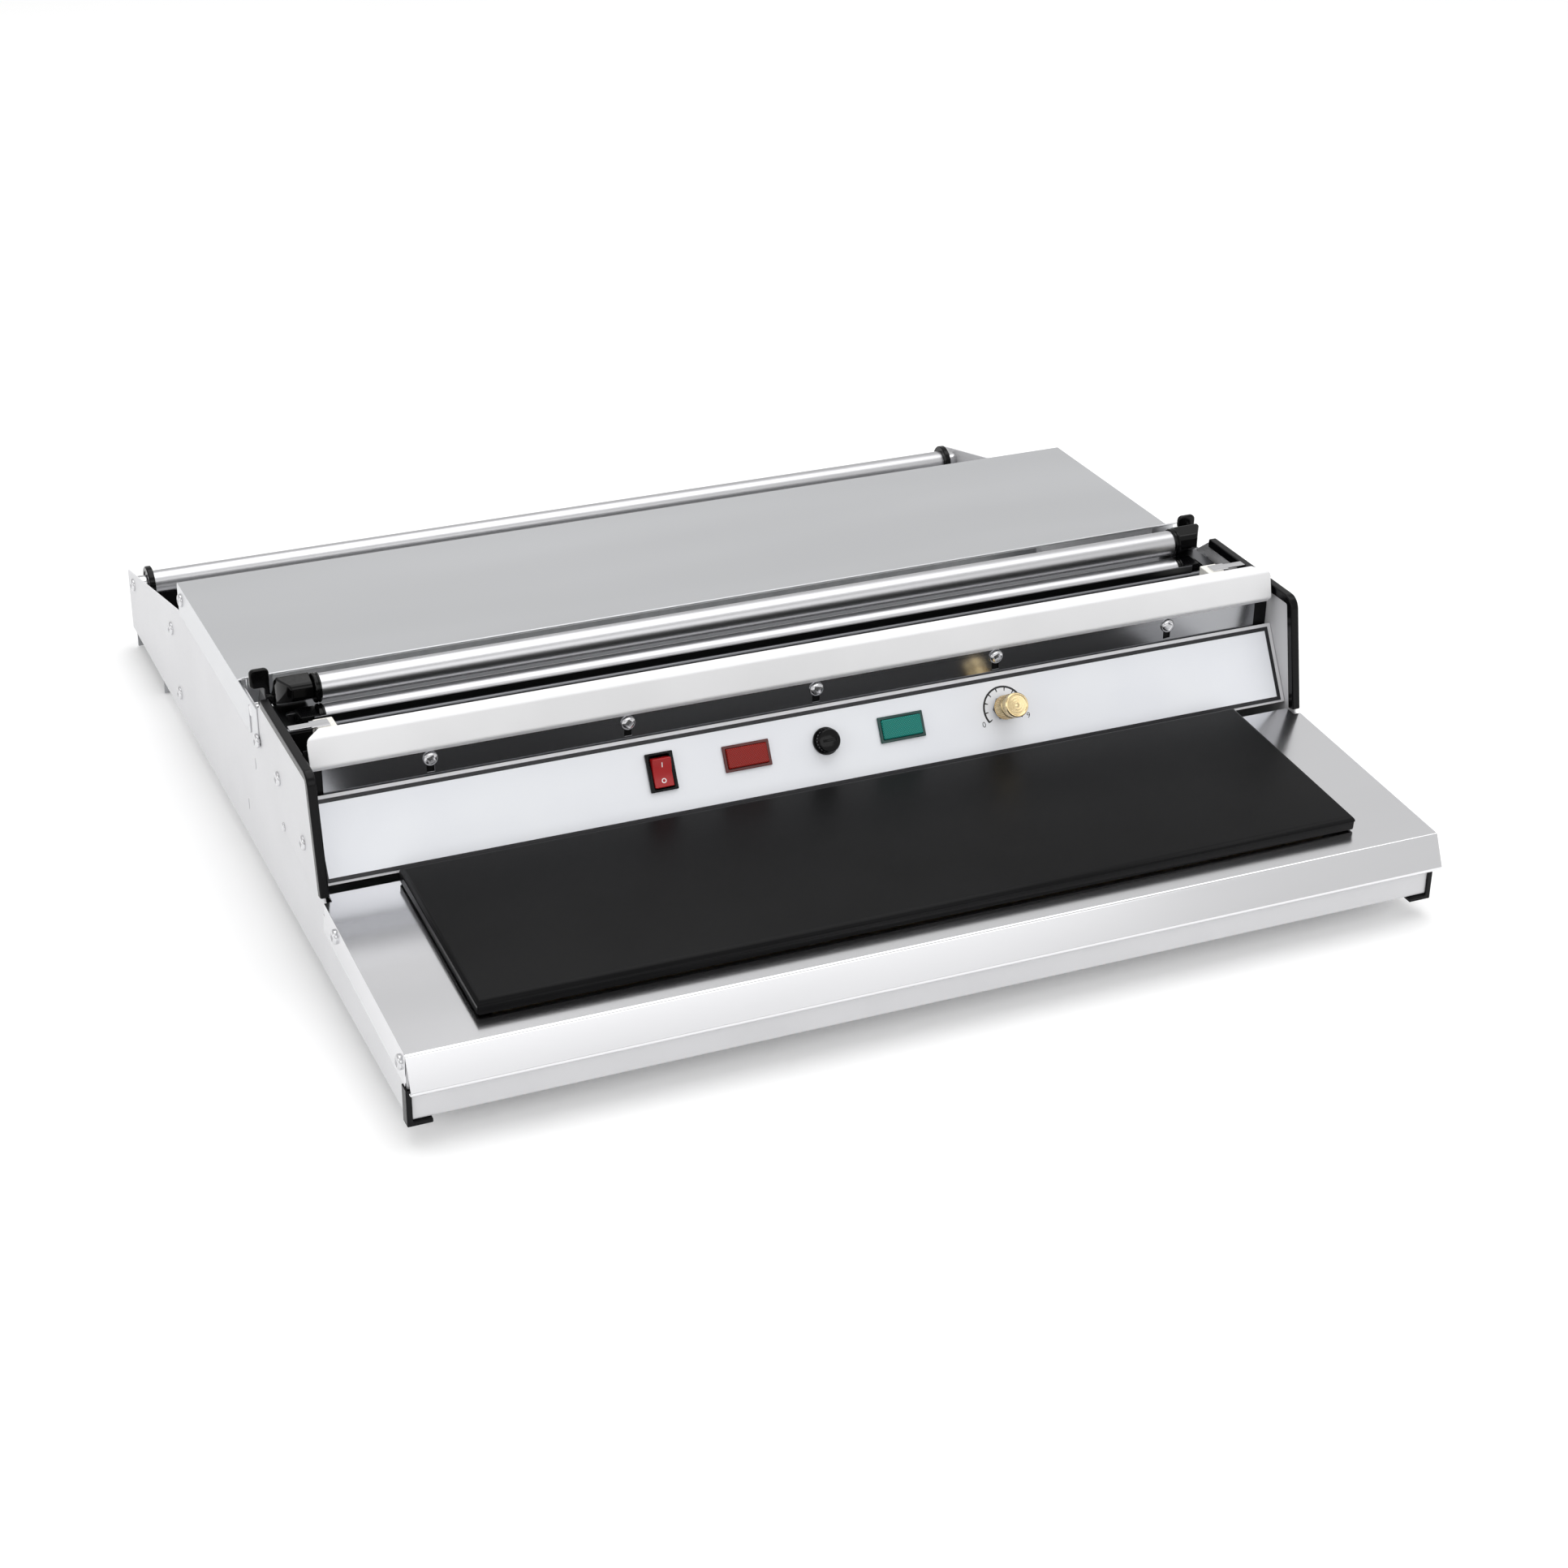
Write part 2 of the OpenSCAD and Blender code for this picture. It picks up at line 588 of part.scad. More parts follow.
module fuse_cap() color("#0d0d0e") placed() on_panel()
    translate([fuse_x, control_v, label_t + fuse_flange_t + seat_gap]) difference() {
        union() {
            cylinder(h = cap_head_h, r = cap_head_r);
            translate([0, 0, -cap_stem]) cylinder(h = cap_stem, r = fuse_bore_r);
        }
        box([-cap_head_r * 0.6, -cap_slot_w / 2, cap_head_h - cap_slot_d],
            [cap_head_r * 0.6, cap_slot_w / 2, cap_head_h + cut]);
    }
module fuse_tube() color("#dfe4e6") placed() on_panel()
    translate([fuse_x, control_v, label_t - fuse_depth + 2 * sheet_t])
        cylinder(h = fuse_len, r = fuse_r);

// Heat regulator with its knob
neck_out = 2.5;
neck_nut_r = 7;
neck_nut_t = 2;
regulator_r = 12;
regulator_depth = 14;
shaft_r = 3;
shaft_depth = 8;
module regulator_body() color("#3a3a3c") placed() on_panel() translate([knob_x, control_v, 0])
    difference() {
        union() {
            translate([0, 0, -sheet_t]) cylinder(h = sheet_t + label_t + neck_out, r = regulator_neck_r);
            translate([0, 0, label_t]) cylinder(h = neck_nut_t, r = neck_nut_r, $fn = 6);
            translate([0, 0, -sheet_t - regulator_depth]) cylinder(h = regulator_depth, r = regulator_r);
        }
        translate([0, 0, -shaft_depth - seat_gap]) cylinder(h = shaft_depth + neck_out * 2, r = shaft_r + fit);
    }
knob_base = label_t + neck_out + seat_gap;
knob_rib_n = 28;
knob_rib = 0.5;
knob_groove = 1;
module knob() color("#d8be8c") placed() on_panel() translate([knob_x, control_v, 0]) {
    translate([0, 0, -shaft_depth]) cylinder(h = shaft_depth + knob_base + cut, r = shaft_r);
    translate([0, 0, knob_base]) difference() {
        cylinder(h = knob_len, r = knob_d / 2);
        for (k = [0 : knob_rib_n - 1]) rotate([0, 0, 360 * k / knob_rib_n])
            box([knob_d / 2 - knob_rib, -knob_rib, knob_groove], [knob_d / 2 + cut, knob_rib, knob_len - knob_groove]);
        box([-knob_groove / 2, 0, knob_len - knob_rib], [knob_groove / 2, knob_d / 2 + cut, knob_len + cut]);
    }
}

// Electrics inside
core_from = [-190, 196, 0];
core_size = [64, 44, 52];
core_window = 11;
coil_grow = 9;
block_from = [-90, 205, 0];
block_size = [70, 20, 15];
block_ways = 6;
module transformer() color("#6c6c6e") placed() translate(core_from + [0, 0, sheet_t]) {
    difference() {
        cube(core_size);
        box([core_window, -cut, core_window], [core_size[0] - core_window, core_size[1] + cut,
            core_size[2] - core_window]);
    }
    box([core_window, -coil_grow, core_window], [core_size[0] - core_window, core_size[1] + coil_grow,
        core_size[2] - core_window]);
}
module terminal_block() color("#e6e2d6") placed() translate(block_from + [0, 0, sheet_t]) difference() {
    cube(block_size);
    for (i = [0 : block_ways - 1]) translate([block_size[0] * (i + 0.5) / block_ways, block_size[1] / 2,
        block_size[2] / 2]) cylinder(h = block_size[2], r = screw_r);
}
gland_hex_r = 12;
gland_hex_t = 6;
gland_dome_r = 9.5;
gland_dome_len = 10;
cord_bore_r = 4;
module cable_gland() color("#18181a") placed() translate([gland_place[0], wall_y + sheet_t, gland_place[1]])
    rotate([-90, 0, 0]) difference() {
        union() {
            cylinder(h = gland_hex_t, r = gland_hex_r, $fn = 6);
            cylinder(h = gland_hex_t + gland_dome_len, r = gland_dome_r);
            translate([0, 0, -sheet_t - gland_hex_t]) cylinder(h = sheet_t + gland_hex_t + fit, r = gland_bore_r);
            translate([0, 0, -sheet_t - gland_hex_t]) cylinder(h = gland_hex_t, r = gland_hex_r, $fn = 6);
        }
        translate([0, 0, -gland_hex_t - 2 * cut]) cylinder(h = gland_hex_t * 2 + gland_dome_len + 3 * cut,
            r = cord_bore_r);
    }

// Cutter
cutter_channel_front = strip_y + sheet_t;
cutter_channel_floor = 88;
cutter_channel_rear = 234;
cutter_channel_top = 118;
strip_pitch = 2 * (strip_half - strip_screw_end) / (strip_screws_n - 1);
channel_half = inner_w - trim_side - seat_gap;
module cutter_channel() color("#19191a") placed() difference() {
    union() {
        across(channel_half) polygon(folded(bent([
            [cutter_channel_front, cutter_channel_top],
            [cutter_channel_front, cutter_channel_floor], [cutter_channel_rear, cutter_channel_floor]],
            bend_out), sheet_t));
        both_sides() box([inner_w - sheet_t, channel_screw[0] - wall_flange, channel_screw[1] - head_r * 2],
            [inner_w, channel_screw[0] + trim_side, cutter_channel_floor + 2 * sheet_t]);
        both_sides() box([channel_half - sheet_t, channel_screw[0] - wall_flange, cutter_channel_floor + sheet_t],
            [inner_w, channel_screw[0] + trim_side, cutter_channel_floor + 2 * sheet_t]);
    }
    side_screw_bores([channel_screw]);
    strip_bores();
}

// Upright bar on the channel's floor that carries the front of the guide plate
module guide_rail() color("#19191a") placed() box(
    [-channel_half, cutter_channel_rear - sheet_t, cutter_channel_floor + sheet_t],
    [channel_half, cutter_channel_rear, guide_z - sheet_t]);

// Recessed strip
strip_foot = 86;
strip_top = 121;
strip_slot = 4;
module strip_screw_places() for (i = [0 : strip_screws_n - 1])
    translate([(i - (strip_screws_n - 1) / 2) * strip_pitch, strip_y, strip_screw_z]) children();
module strip_bores() strip_screw_places() rotate([90, 0, 0]) translate([0, 0, -screw_len - cut])
    cylinder(h = screw_len + 2 * cut, r = screw_hole_r);
module cutter_strip() color("#9a9a9e") placed() difference() {
    box([-strip_half, strip_y, strip_foot], [strip_half, strip_y + sheet_t, strip_top]);
    strip_bores();
    strip_screw_places() box([-screw_hole_r, -cut, -head_r - strip_slot], [screw_hole_r, sheet_t + cut, 0]);
}
module strip_screws() color("#c8c8ca") placed() strip_screw_places() rotate([90, 0, 0]) {
    pan_head(head_r, head_h);
    translate([0, 0, -screw_len]) cylinder(h = screw_len + fit, r = screw_r);
}
cover_lean = 4;
cover_flange = 8;
cover_flange_rise = 1.2;
cover_return = 4.2;
cover_corner = 6;
cover_bend_y = cover_front_y + cover_lean;
module cutter_cover() color("#f0f0f0") placed() difference() {
    across(cover_half) polygon(folded(bent([
        [strip_y - seat_gap - sheet_t, cover_foot_z - cover_return], [cover_front_y, cover_foot_z],
        [cover_bend_y, cover_top_z],
        [cover_bend_y + cover_flange, cover_top_z + cover_flange_rise]], bend_out), -sheet_t));
    both_sides() translate([cover_half, cover_bend_y + cover_flange, 0]) rotate([0, 0, 45])
        box([-cover_corner, -cover_corner, cover_top_z - bend_out - cut],
            [cover_corner, cover_corner, cover_top_z + cover_flange]);
}
rod_y = 214;
rod_z = 109;
holder_side = 17.3;
holder_w = 11;
holder_x = inner_w - holder_side - holder_w;
holder_h = 8;
holder_len = 14;
module cutter_rod() color("#111112") placed() rod_x(-holder_x - holder_w, holder_x + holder_w, [rod_y, rod_z], cutter_d / 2);
module ceramic_holders() color("#f2f0ea") placed() both_sides() difference() {
    box([holder_x, rod_y - holder_len / 2, cutter_channel_floor + sheet_t],
        [holder_x + holder_w, rod_y + holder_len / 2, rod_z + holder_h]);
    rod_x(holder_x - cut, holder_x + holder_w + cut, [rod_y, rod_z], cutter_d / 2 + fit);
}
leaf_t = 0.8;
leaf_w = 8;
leaf_out = 15;
leaf_neck = 3;
module terminal_leaves() color("#d8d8da") placed() both_sides() {
    box([holder_x + holder_w / 3, rod_y - leaf_w / 2, rod_z + holder_h],
        [holder_x + holder_w + leaf_neck, rod_y + leaf_w / 2, rod_z + holder_h + leaf_t]);
    box([holder_x + holder_w + leaf_neck, rod_y - leaf_w / 3, rod_z + holder_h],
        [holder_x + holder_w + leaf_out, rod_y + leaf_w / 3, rod_z + holder_h + leaf_t]);
}

// Guide plate with the lower roller's slot
guide_front = 236;
guide_rear = 278;
guide_half = inner_w - trim_side - 2 * seat_gap;
slot_front = 238.6;
slot_rear = 258;
slot_over = 19.5;
slot_half = front_half + slot_over;
slot_r = 4;
rim_h = 4.6;
rim_over = 7.5;
rim_half = front_half + rim_over;
module guide_plate() color("#a9a9ad") placed() {
    difference() {
        across(guide_half) polygon(folded(bent([[guide_front, guide_z - rim_h - sheet_t], [guide_front, guide_z],
            [guide_rear, guide_z]], bend_out), -sheet_t));
        hull() both_sides() for (y = [slot_front + slot_r, slot_rear - slot_r])
            translate([slot_half - slot_r, y, guide_z - 2 * cut]) cylinder(h = 3 * cut, r = slot_r);
        both_sides() box([arm_stem_x - arm_gap, arm_foot_y[0], guide_z - 2 * cut],
            [guide_half + cut, guide_rear + cut, guide_z + cut]);
    }
    box([-rim_half, slot_front - sheet_t, guide_z], [rim_half, slot_front, guide_z + rim_h]);
}

// Rollers
flange_t = 3.5;
stub_r = 3;
stub_len = 10;
upper_flange_r = 8.6;
lower_flange_r = 7.9;
tube_wall = 1.5;
module roller_tube(half, place) difference() {
    rod_x(-half, half, place, roller_d / 2);
    rod_x(-half - cut, half + cut, place, roller_d / 2 - tube_wall);
}
module roller_flange(half, place, r) {
    rod_x(half, half + flange_t, place, r);
    rod_x(half - stub_len, half, place, roller_d / 2 - tube_wall);
    rod_x(half + flange_t, half + flange_t + stub_len, place, stub_r);
}
module upper_roller_tube() color("#d4d4d6") placed() roller_tube(front_half, [upper_y, upper_z]);
module upper_roller_flanges() color("#0e0e0f") placed() both_sides()
    roller_flange(front_half, [upper_y, upper_z], upper_flange_r);
module lower_roller_tube() color("#d4d4d6") placed() roller_tube(front_half, [lower_y, lower_z]);
module lower_roller_flanges() color("#0e0e0f") placed() both_sides()
    roller_flange(front_half, [lower_y, lower_z], lower_flange_r);
low_block_x = front_half + flange_t + seat_gap;
low_block_w = stub_len + 2 * seat_gap;
low_block_foot = 93;
low_block_d = 13;
low_block_over = 5;
module lower_roller_holders() color("#0f0f10") placed() both_sides() difference() {
    union() {
        box([low_block_x, lower_y - low_block_d / 2, low_block_foot],
            [low_block_x + low_block_w, lower_y + low_block_d / 2, lower_z + low_block_over]);
        box([low_block_x, guide_front + bend_out + seat_gap, low_block_foot],
            [low_block_x + low_block_w, wall_y - wall_top_flange - seat_gap, guide_z - sheet_t - fit]);
    }
    rod_x(low_block_x - cut, low_block_x + low_block_w - seat_gap, [lower_y, lower_z], stub_r + fit);
}

// Lift arms: each holds an end of the upper roller and swings on a pin behind the guide plate.
// The shares place the block's outline points between its front, its heel, its foot and its top.
arm_gap = 1;
arm_side = 3.5;
arm_stem_w = 3.3;
arm_stem_x = inner_w - arm_side - arm_stem_w;
arm_x = front_half + flange_t + seat_gap;
arm_w = arm_stem_x - arm_gap - arm_x;
arm_front_y = 249;
arm_heel_y = 272;
arm_top_z = 126.5;
arm_foot_z = 106;
arm_foot_y = [268.5, 272];
arm_chamfer_x = 6;
arm_chamfer_y = 9;
block_shares = [[0, 0.51], [0, 0.8], [0.07, 0.9], [0.48, 1], [0.74, 0.78], [1, 0.29], [1, 0], [0.85, 0], [0.09, 0.39]];
stem_front_y = 270;
stem_depth = 11;
ear_t = 3;
ear_top_z = 127.5;
ear_left_foot_z = 116;
ear_right_foot_z = 119;
ear_round = 2.8;
module ear(x0, x1, foot_z) translate([0, stem_front_y + ear_t, 0]) rotate([90, 0, 0])
    linear_extrude(height = ear_t) hull() for (x = [x0 + ear_round, x1 - ear_round])
        for (z = [foot_z + ear_round, ear_top_z - ear_round]) translate([x, z]) circle(r = ear_round, $fn = 24);
module arm_body() difference() {
    union() {
        intersection() {
            across_from(arm_x, arm_x + arm_w) polygon([for (q = block_shares)
                [arm_front_y + q[0] * (arm_heel_y - arm_front_y), arm_foot_z + q[1] * (arm_top_z - arm_foot_z)]]);
            linear_extrude(height = cheek_h * 2) polygon([[arm_x, arm_front_y], [arm_x, arm_heel_y],
                [arm_x + arm_w, arm_heel_y], [arm_x + arm_w, arm_front_y + arm_chamfer_y],
                [arm_x + arm_w - arm_chamfer_x, arm_front_y]]);
        }
        box([arm_x + arm_w - arm_gap, arm_foot_y[0], arm_foot_z], [arm_stem_x + arm_stem_w, arm_heel_y,
            arm_foot_z + stem_depth / 2]);
        across_from(arm_stem_x, arm_stem_x + arm_stem_w) polygon([
            [arm_foot_y[0], arm_foot_z], [stem_front_y, arm_foot_z + stem_depth / 2],
            [stem_front_y, ear_top_z - ear_round], [stem_front_y + ear_t, ear_top_z - ear_round],
            [stem_front_y + stem_depth, ear_left_foot_z],
            [lift_pivot[0] + lift_pin_r * 2, lift_pivot[1]],
            [lift_pivot[0] + lift_pin_r, lift_pivot[1] - lift_pin_r * 2],
            [lift_pivot[0] - lift_pin_r, lift_pivot[1] - lift_pin_r * 2],
            [lift_pivot[0] - lift_pin_r * 2, lift_pivot[1]]]);
    }
    rod_x(arm_x - cut, arm_x + stub_len + seat_gap, [upper_y, upper_z], stub_r + fit);
    rod_x(arm_stem_x - cut, arm_stem_x + arm_stem_w + cut, lift_pivot, lift_pin_r + fit);
}
module lift_arm_left() color("#0c0c0d") placed() {
    mirror([1, 0, 0]) arm_body();
    ear(-outer_w - head_h, -arm_stem_x, ear_left_foot_z);
}
module lift_arm_right() color("#0c0c0d") placed() {
    arm_body();
    ear(arm_stem_x + arm_stem_w - ear_w, arm_stem_x + arm_stem_w, ear_right_foot_z);
}
ear_w = 11.4;
lift_head_r = 3.2;
lift_head_h = 0.8;
module lift_pins() color("#b9b9bb") placed() both_sides() {
    rod_x(arm_stem_x - sheet_t, half_w + lift_head_h / 2, lift_pivot, lift_pin_r);
    rod_x(half_w, half_w + lift_head_h, lift_pivot, lift_head_r);
    rod_x(arm_stem_x + arm_stem_w + seat_gap, inner_w, lift_pivot, lift_head_r + seat_gap);
}

// Deck
deck_closure_foot = 93;
deck_closure_w = 17;
module deck() color("#c0c1c3") placed() difference() {
    union() {
        across(outer_w) polygon(folded(bent([[deck_rear_y, deck_top(deck_rear_y) - bend_out - sheet_t],
            [deck_rear_y, deck_top(deck_rear_y)], [deck_front_y, deck_top(deck_front_y)],
            [deck_front_y - lip_reach, deck_top(deck_front_y) + lip_rise]], bend_out), sheet_t));
        across(inner_w - seat_gap) polygon([[deck_rear_y - sheet_t, deck_top(deck_rear_y) - deck_hem],
            [deck_rear_y, deck_top(deck_rear_y) - deck_hem], [deck_rear_y, deck_top(deck_rear_y) - 2 * sheet_t],
            [deck_rear_y - sheet_t, deck_top(deck_rear_y) - 2 * sheet_t]]);
        both_sides() across_from(half_w, outer_w) polygon([[lift_pivot[0] - hook_lap, deck_flange_foot],
            [deck_rear_y, deck_flange_foot], [deck_rear_y, deck_bend_foot],
            [deck_rear_y - bend_out, deck_top(deck_rear_y - bend_out) - fit],
            [lift_pivot[0] - hook_lap, deck_top(lift_pivot[0] - hook_lap) - fit]]);
        both_sides() across_from(half_w - deck_closure_w, inner_w - seat_gap) polygon([
            [deck_front_y - lip_reach, deck_closure_foot], [deck_front_y - lip_reach + sheet_t, deck_closure_foot],
            [deck_front_y - lip_reach + sheet_t, deck_top(deck_front_y) + lip_rise - 2 * sheet_t],
            [deck_front_y - lip_reach, deck_top(deck_front_y) + lip_rise - sheet_t / 2]]);
    }
    both_sides() hull() {
        rod_x(half_w - cut, outer_w + cut, lift_pivot, hook_w / 2);
        rod_x(half_w - cut, outer_w + cut, [lift_pivot[0], deck_flange_foot - hook_w], hook_w / 2);
    }
    side_screw_bores([deck_screw_place, wall_screw]);
}
module deck_screws() color("#dedede") placed() both_sides() side_screw(deck_screw_place, outer_w, tray_screw_len);

// Rear rollers
cap_t = 4;
pin_len_in = 10;
module roller_caps(place) both_sides() difference() {
    union() {
        rod_x(rear_half, rear_half + cap_t, place, cap_d / 2);
        rod_x(rear_half - stub_len, rear_half, place, roller_d / 2 - tube_wall);
    }
    rod_x(rear_half + cap_t - pin_len_in, rear_half + cap_t + cut, place, roller_pin_r + fit);
}
module rear_roller_tube() color("#d4d4d6") placed() roller_tube(rear_half, [rear_roller_y, rear_roller_z]);
module rear_roller_caps() color("#161617") placed() roller_caps([rear_roller_y, rear_roller_z]);
module bay_roller_tube() color("#d4d4d6") placed() roller_tube(rear_half, [bay_roller_y, bay_roller_z]);
module bay_roller_caps() color("#161617") placed() roller_caps([bay_roller_y, bay_roller_z]);
pin_collar_r = 5.5;
module roller_pin(place) {
    rod_x(rear_half + cap_t - pin_len_in + seat_gap * 2, half_w + fit, place, roller_pin_r);
    rod_x(rear_half + cap_t + seat_gap, inner_w, place, pin_collar_r);
    translate([half_w, place[0], place[1]]) rotate([0, 90, 0]) pan_head(head_r, head_h);
}
module roller_pins() color("#cfcfd1") placed() both_sides() {
    roller_pin([rear_roller_y, rear_roller_z]);
    roller_pin([bay_roller_y, bay_roller_z]);
}

// Screws of the side plates
dome_r = 2.6;
dome_h = 1.4;
module side_screws() color("#dedede") placed() both_sides() {
    for (p = side_screw_places) side_screw(p, p == wall_screw ? outer_w : half_w, screw_len);
    translate([half_w, dome_screw[0], dome_screw[1]]) rotate([0, 90, 0]) pan_head(dome_r, dome_h);
    rod_x(inner_w, half_w + fit, dome_screw, screw_r);
}

side_plate_left();
side_plate_right();
cheek_trim_left();
cheek_trim_right();
corner_trims();
front_panel();
base_pan();
front_feet();
inner_wall();
cross_rail();
rear_channel();
rear_wall();
tray();
tray_screws();
heating_plate();
heater_mat();
insulation_pad();
heater_posts();
control_panel();
panel_angles();
panel_label();
switch_body();
rocker();
power_lamp_body();
power_lamp_lens();
heater_lamp_body();
heater_lamp_lens();
fuse_holder();
fuse_cap();
fuse_tube();
regulator_body();
knob();
transformer();
terminal_block();
cable_gland();
cutter_channel();
guide_rail();
cutter_strip();
strip_screws();
cutter_cover();
cutter_rod();
ceramic_holders();
terminal_leaves();
guide_plate();
lower_roller_holders();
lower_roller_tube();
lower_roller_flanges();
upper_roller_tube();
upper_roller_flanges();
lift_arm_left();
lift_arm_right();
lift_pins();
deck();
deck_screws();
rear_roller_tube();
rear_roller_caps();
bay_roller_tube();
bay_roller_caps();
roller_pins();
side_screws();
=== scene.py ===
import bpy
import bmesh
import json
from math import atan2, cos, pi, radians, sin
from mathutils import Matrix, Vector


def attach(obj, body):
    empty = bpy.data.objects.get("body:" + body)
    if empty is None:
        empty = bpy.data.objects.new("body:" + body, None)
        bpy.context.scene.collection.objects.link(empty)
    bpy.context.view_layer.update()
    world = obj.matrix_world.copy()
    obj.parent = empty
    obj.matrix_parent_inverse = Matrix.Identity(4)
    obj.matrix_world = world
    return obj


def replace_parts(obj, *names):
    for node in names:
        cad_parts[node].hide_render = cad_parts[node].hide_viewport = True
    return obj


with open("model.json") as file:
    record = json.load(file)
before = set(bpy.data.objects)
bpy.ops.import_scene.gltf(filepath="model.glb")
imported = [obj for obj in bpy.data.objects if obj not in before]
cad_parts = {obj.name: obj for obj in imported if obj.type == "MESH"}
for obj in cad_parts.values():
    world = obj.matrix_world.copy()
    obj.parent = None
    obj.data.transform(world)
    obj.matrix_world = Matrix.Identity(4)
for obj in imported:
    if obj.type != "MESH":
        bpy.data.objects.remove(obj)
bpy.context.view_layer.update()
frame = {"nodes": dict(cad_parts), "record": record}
nodes = frame["nodes"]
mm = 0.001
depthMid = 307.6  # the part's origin lies this far behind the side plates' front edge
footHigh = 12.0  # and this far under their lower edge
print("frame loaded:", len(nodes), "nodes")


def at(x, y, z):  # millimetres from the machine's front bottom edge to the part's own frame
    return Vector((x, y - depthMid, z + footHigh)) * mm


def linearColour(code):
    parts = [int(code[i:i + 2], 16) / 255 for i in (1, 3, 5)]
    return [c / 12.92 if c <= 0.04045 else ((c + 0.055) / 1.055) ** 2.4 for c in parts] + [1.0]


# Materials

def addNode(tree, kind, settings=None, inputs=None):
    node = tree.nodes.new(kind)
    for key, value in (settings or {}).items():
        setattr(node, key, value)
    for key, value in (inputs or {}).items():
        if isinstance(value, bpy.types.NodeSocket):
            tree.links.new(value, node.inputs[key])
        else:
            node.inputs[key].default_value = value
    return node


def newMaterial(name, colour, roughness, metallic=0.0, extras=None):
    mat = bpy.data.materials.new(name)
    mat.use_nodes = True
    shader = mat.node_tree.nodes["Principled BSDF"]
    shader.inputs["Base Color"].default_value = linearColour(colour)
    shader.inputs["Roughness"].default_value = roughness
    shader.inputs["Metallic"].default_value = metallic
    for key, value in (extras or {}).items():
        shader.inputs[key].default_value = value
    mat.diffuse_color = linearColour(colour)
    return mat, mat.node_tree, shader


def stretchedNoise(tree, sizes, detail=4.0):  # sizes in mm of one cell along x, y and z
    place = addNode(tree, "ShaderNodeTexCoord")
    scaled = addNode(tree, "ShaderNodeMapping", None,
                     {"Vector": place.outputs["Object"], "Scale": [1000 / s for s in sizes]})
    noise = addNode(tree, "ShaderNodeTexNoise", None,
                    {"Vector": scaled.outputs["Vector"], "Scale": 1.0, "Detail": detail})
    return noise.outputs["Fac"]


def dressSurface(tree, shader, colours, tone, stops=(0.35, 0.65), skin=None, rough=None, depth=0.0):
    # tone mixes the two colours; skin spreads the roughness between two values and raises depth in mm
    ramp = addNode(tree, "ShaderNodeValToRGB", None, {"Fac": tone})
    for element, stop, code in zip(ramp.color_ramp.elements, stops, colours):
        element.position = stop
        element.color = linearColour(code)
    tree.links.new(ramp.outputs["Color"], shader.inputs["Base Color"])
    if rough:
        spread = addNode(tree, "ShaderNodeMapRange", None,
                         {"Value": skin, "From Min": 0.3, "From Max": 0.7,
                          "To Min": rough[0], "To Max": rough[1]})
        tree.links.new(spread.outputs["Result"], shader.inputs["Roughness"])
    if depth:
        bump = addNode(tree, "ShaderNodeBump", None,
                       {"Height": skin, "Distance": depth * mm, "Strength": 1.0})
        tree.links.new(bump.outputs["Normal"], shader.inputs["Normal"])


def brushedMetal(name, first, second, roughness, grain, depth=0.012):
    mat, tree, shader = newMaterial(name, second, roughness, 1.0)
    noise = stretchedNoise(tree, grain)
    dressSurface(tree, shader, (first, second), noise, skin=noise,
                 rough=(roughness - 0.03, roughness + 0.04), depth=depth)
    return mat


def coatedSteel(name, first, second, roughness, peel=1.6, depth=0.012, extras=None):
    mat, tree, shader = newMaterial(name, second, roughness, 0.0, extras)
    cloud = stretchedNoise(tree, (60, 60, 60), 2.0)
    peelNoise = stretchedNoise(tree, (peel, peel, peel), 2.0)
    dressSurface(tree, shader, (first, second), cloud, skin=peelNoise,
                 rough=(roughness - 0.04, roughness + 0.05), depth=depth)
    return mat


def mouldedPlastic(name, first, second, roughness, grain=0.5, depth=0.01, extras=None):
    return coatedSteel(name, first, second, roughness, grain, depth, extras)


def ribbedLens(name, dark, bright, pitch):  # clear tinted plastic over a square grid of small prisms
    mat, tree, shader = newMaterial(name, bright, 0.14, 0.0,
                                    {"Coat Weight": 0.1, "Coat Roughness": 0.05, "Specular IOR Level": 0.15})
    place = addNode(tree, "ShaderNodeTexCoord")
    split = addNode(tree, "ShaderNodeSeparateXYZ", None, {"Vector": place.outputs["Object"]})
    waves = []
    for axis in ("X", "Z"):
        turns = addNode(tree, "ShaderNodeMath", {"operation": "MULTIPLY"},
                        {0: split.outputs[axis], 1: 2 * pi / (pitch * mm)})
        waves.append(addNode(tree, "ShaderNodeMath", {"operation": "SINE"}, {0: turns.outputs[0]}))
    cross = addNode(tree, "ShaderNodeMath", {"operation": "MULTIPLY"},
                    {0: waves[0].outputs[0], 1: waves[1].outputs[0]})
    dressSurface(tree, shader, (dark, bright), cross.outputs[0], (0.1, 0.75),
                 skin=cross.outputs[0], depth=0.02)
    return mat


# powder coat on the folded body, a smooth light grey with the faint orange peel of a sprayed finish
bodyCoat = coatedSteel("bodyPowderCoat", "#d8d8da", "#dcdcde", 0.42)
# the same coat, whiter, on the cutter cover
coverCoat = coatedSteel("coverPowderCoat", "#e9e9ea", "#eeeeef", 0.36)
# satin rolled stainless of the deck: the rolling grain is too fine to show, so only faint clouds are
# drawn, 80 mm wide and 500 mm long
deckSteel = brushedMetal("deckSatinStainless", "#d2d3d5", "#d4d5d7", 0.36, (500, 80, 80), 0.0005)
# whiter rolled stainless of the tray, which gives blurred reflections of the panel behind it
traySteel = brushedMetal("trayRolledStainless", "#e3e3e5", "#e5e5e7", 0.15, (500, 80, 80), 0.0005)
# plain zinc-coated sheet inside the body, with spangles of about 12 mm
innerSheet = brushedMetal("innerZincSheet", "#a5a6a8", "#b2b3b5", 0.42, (12, 12, 12))
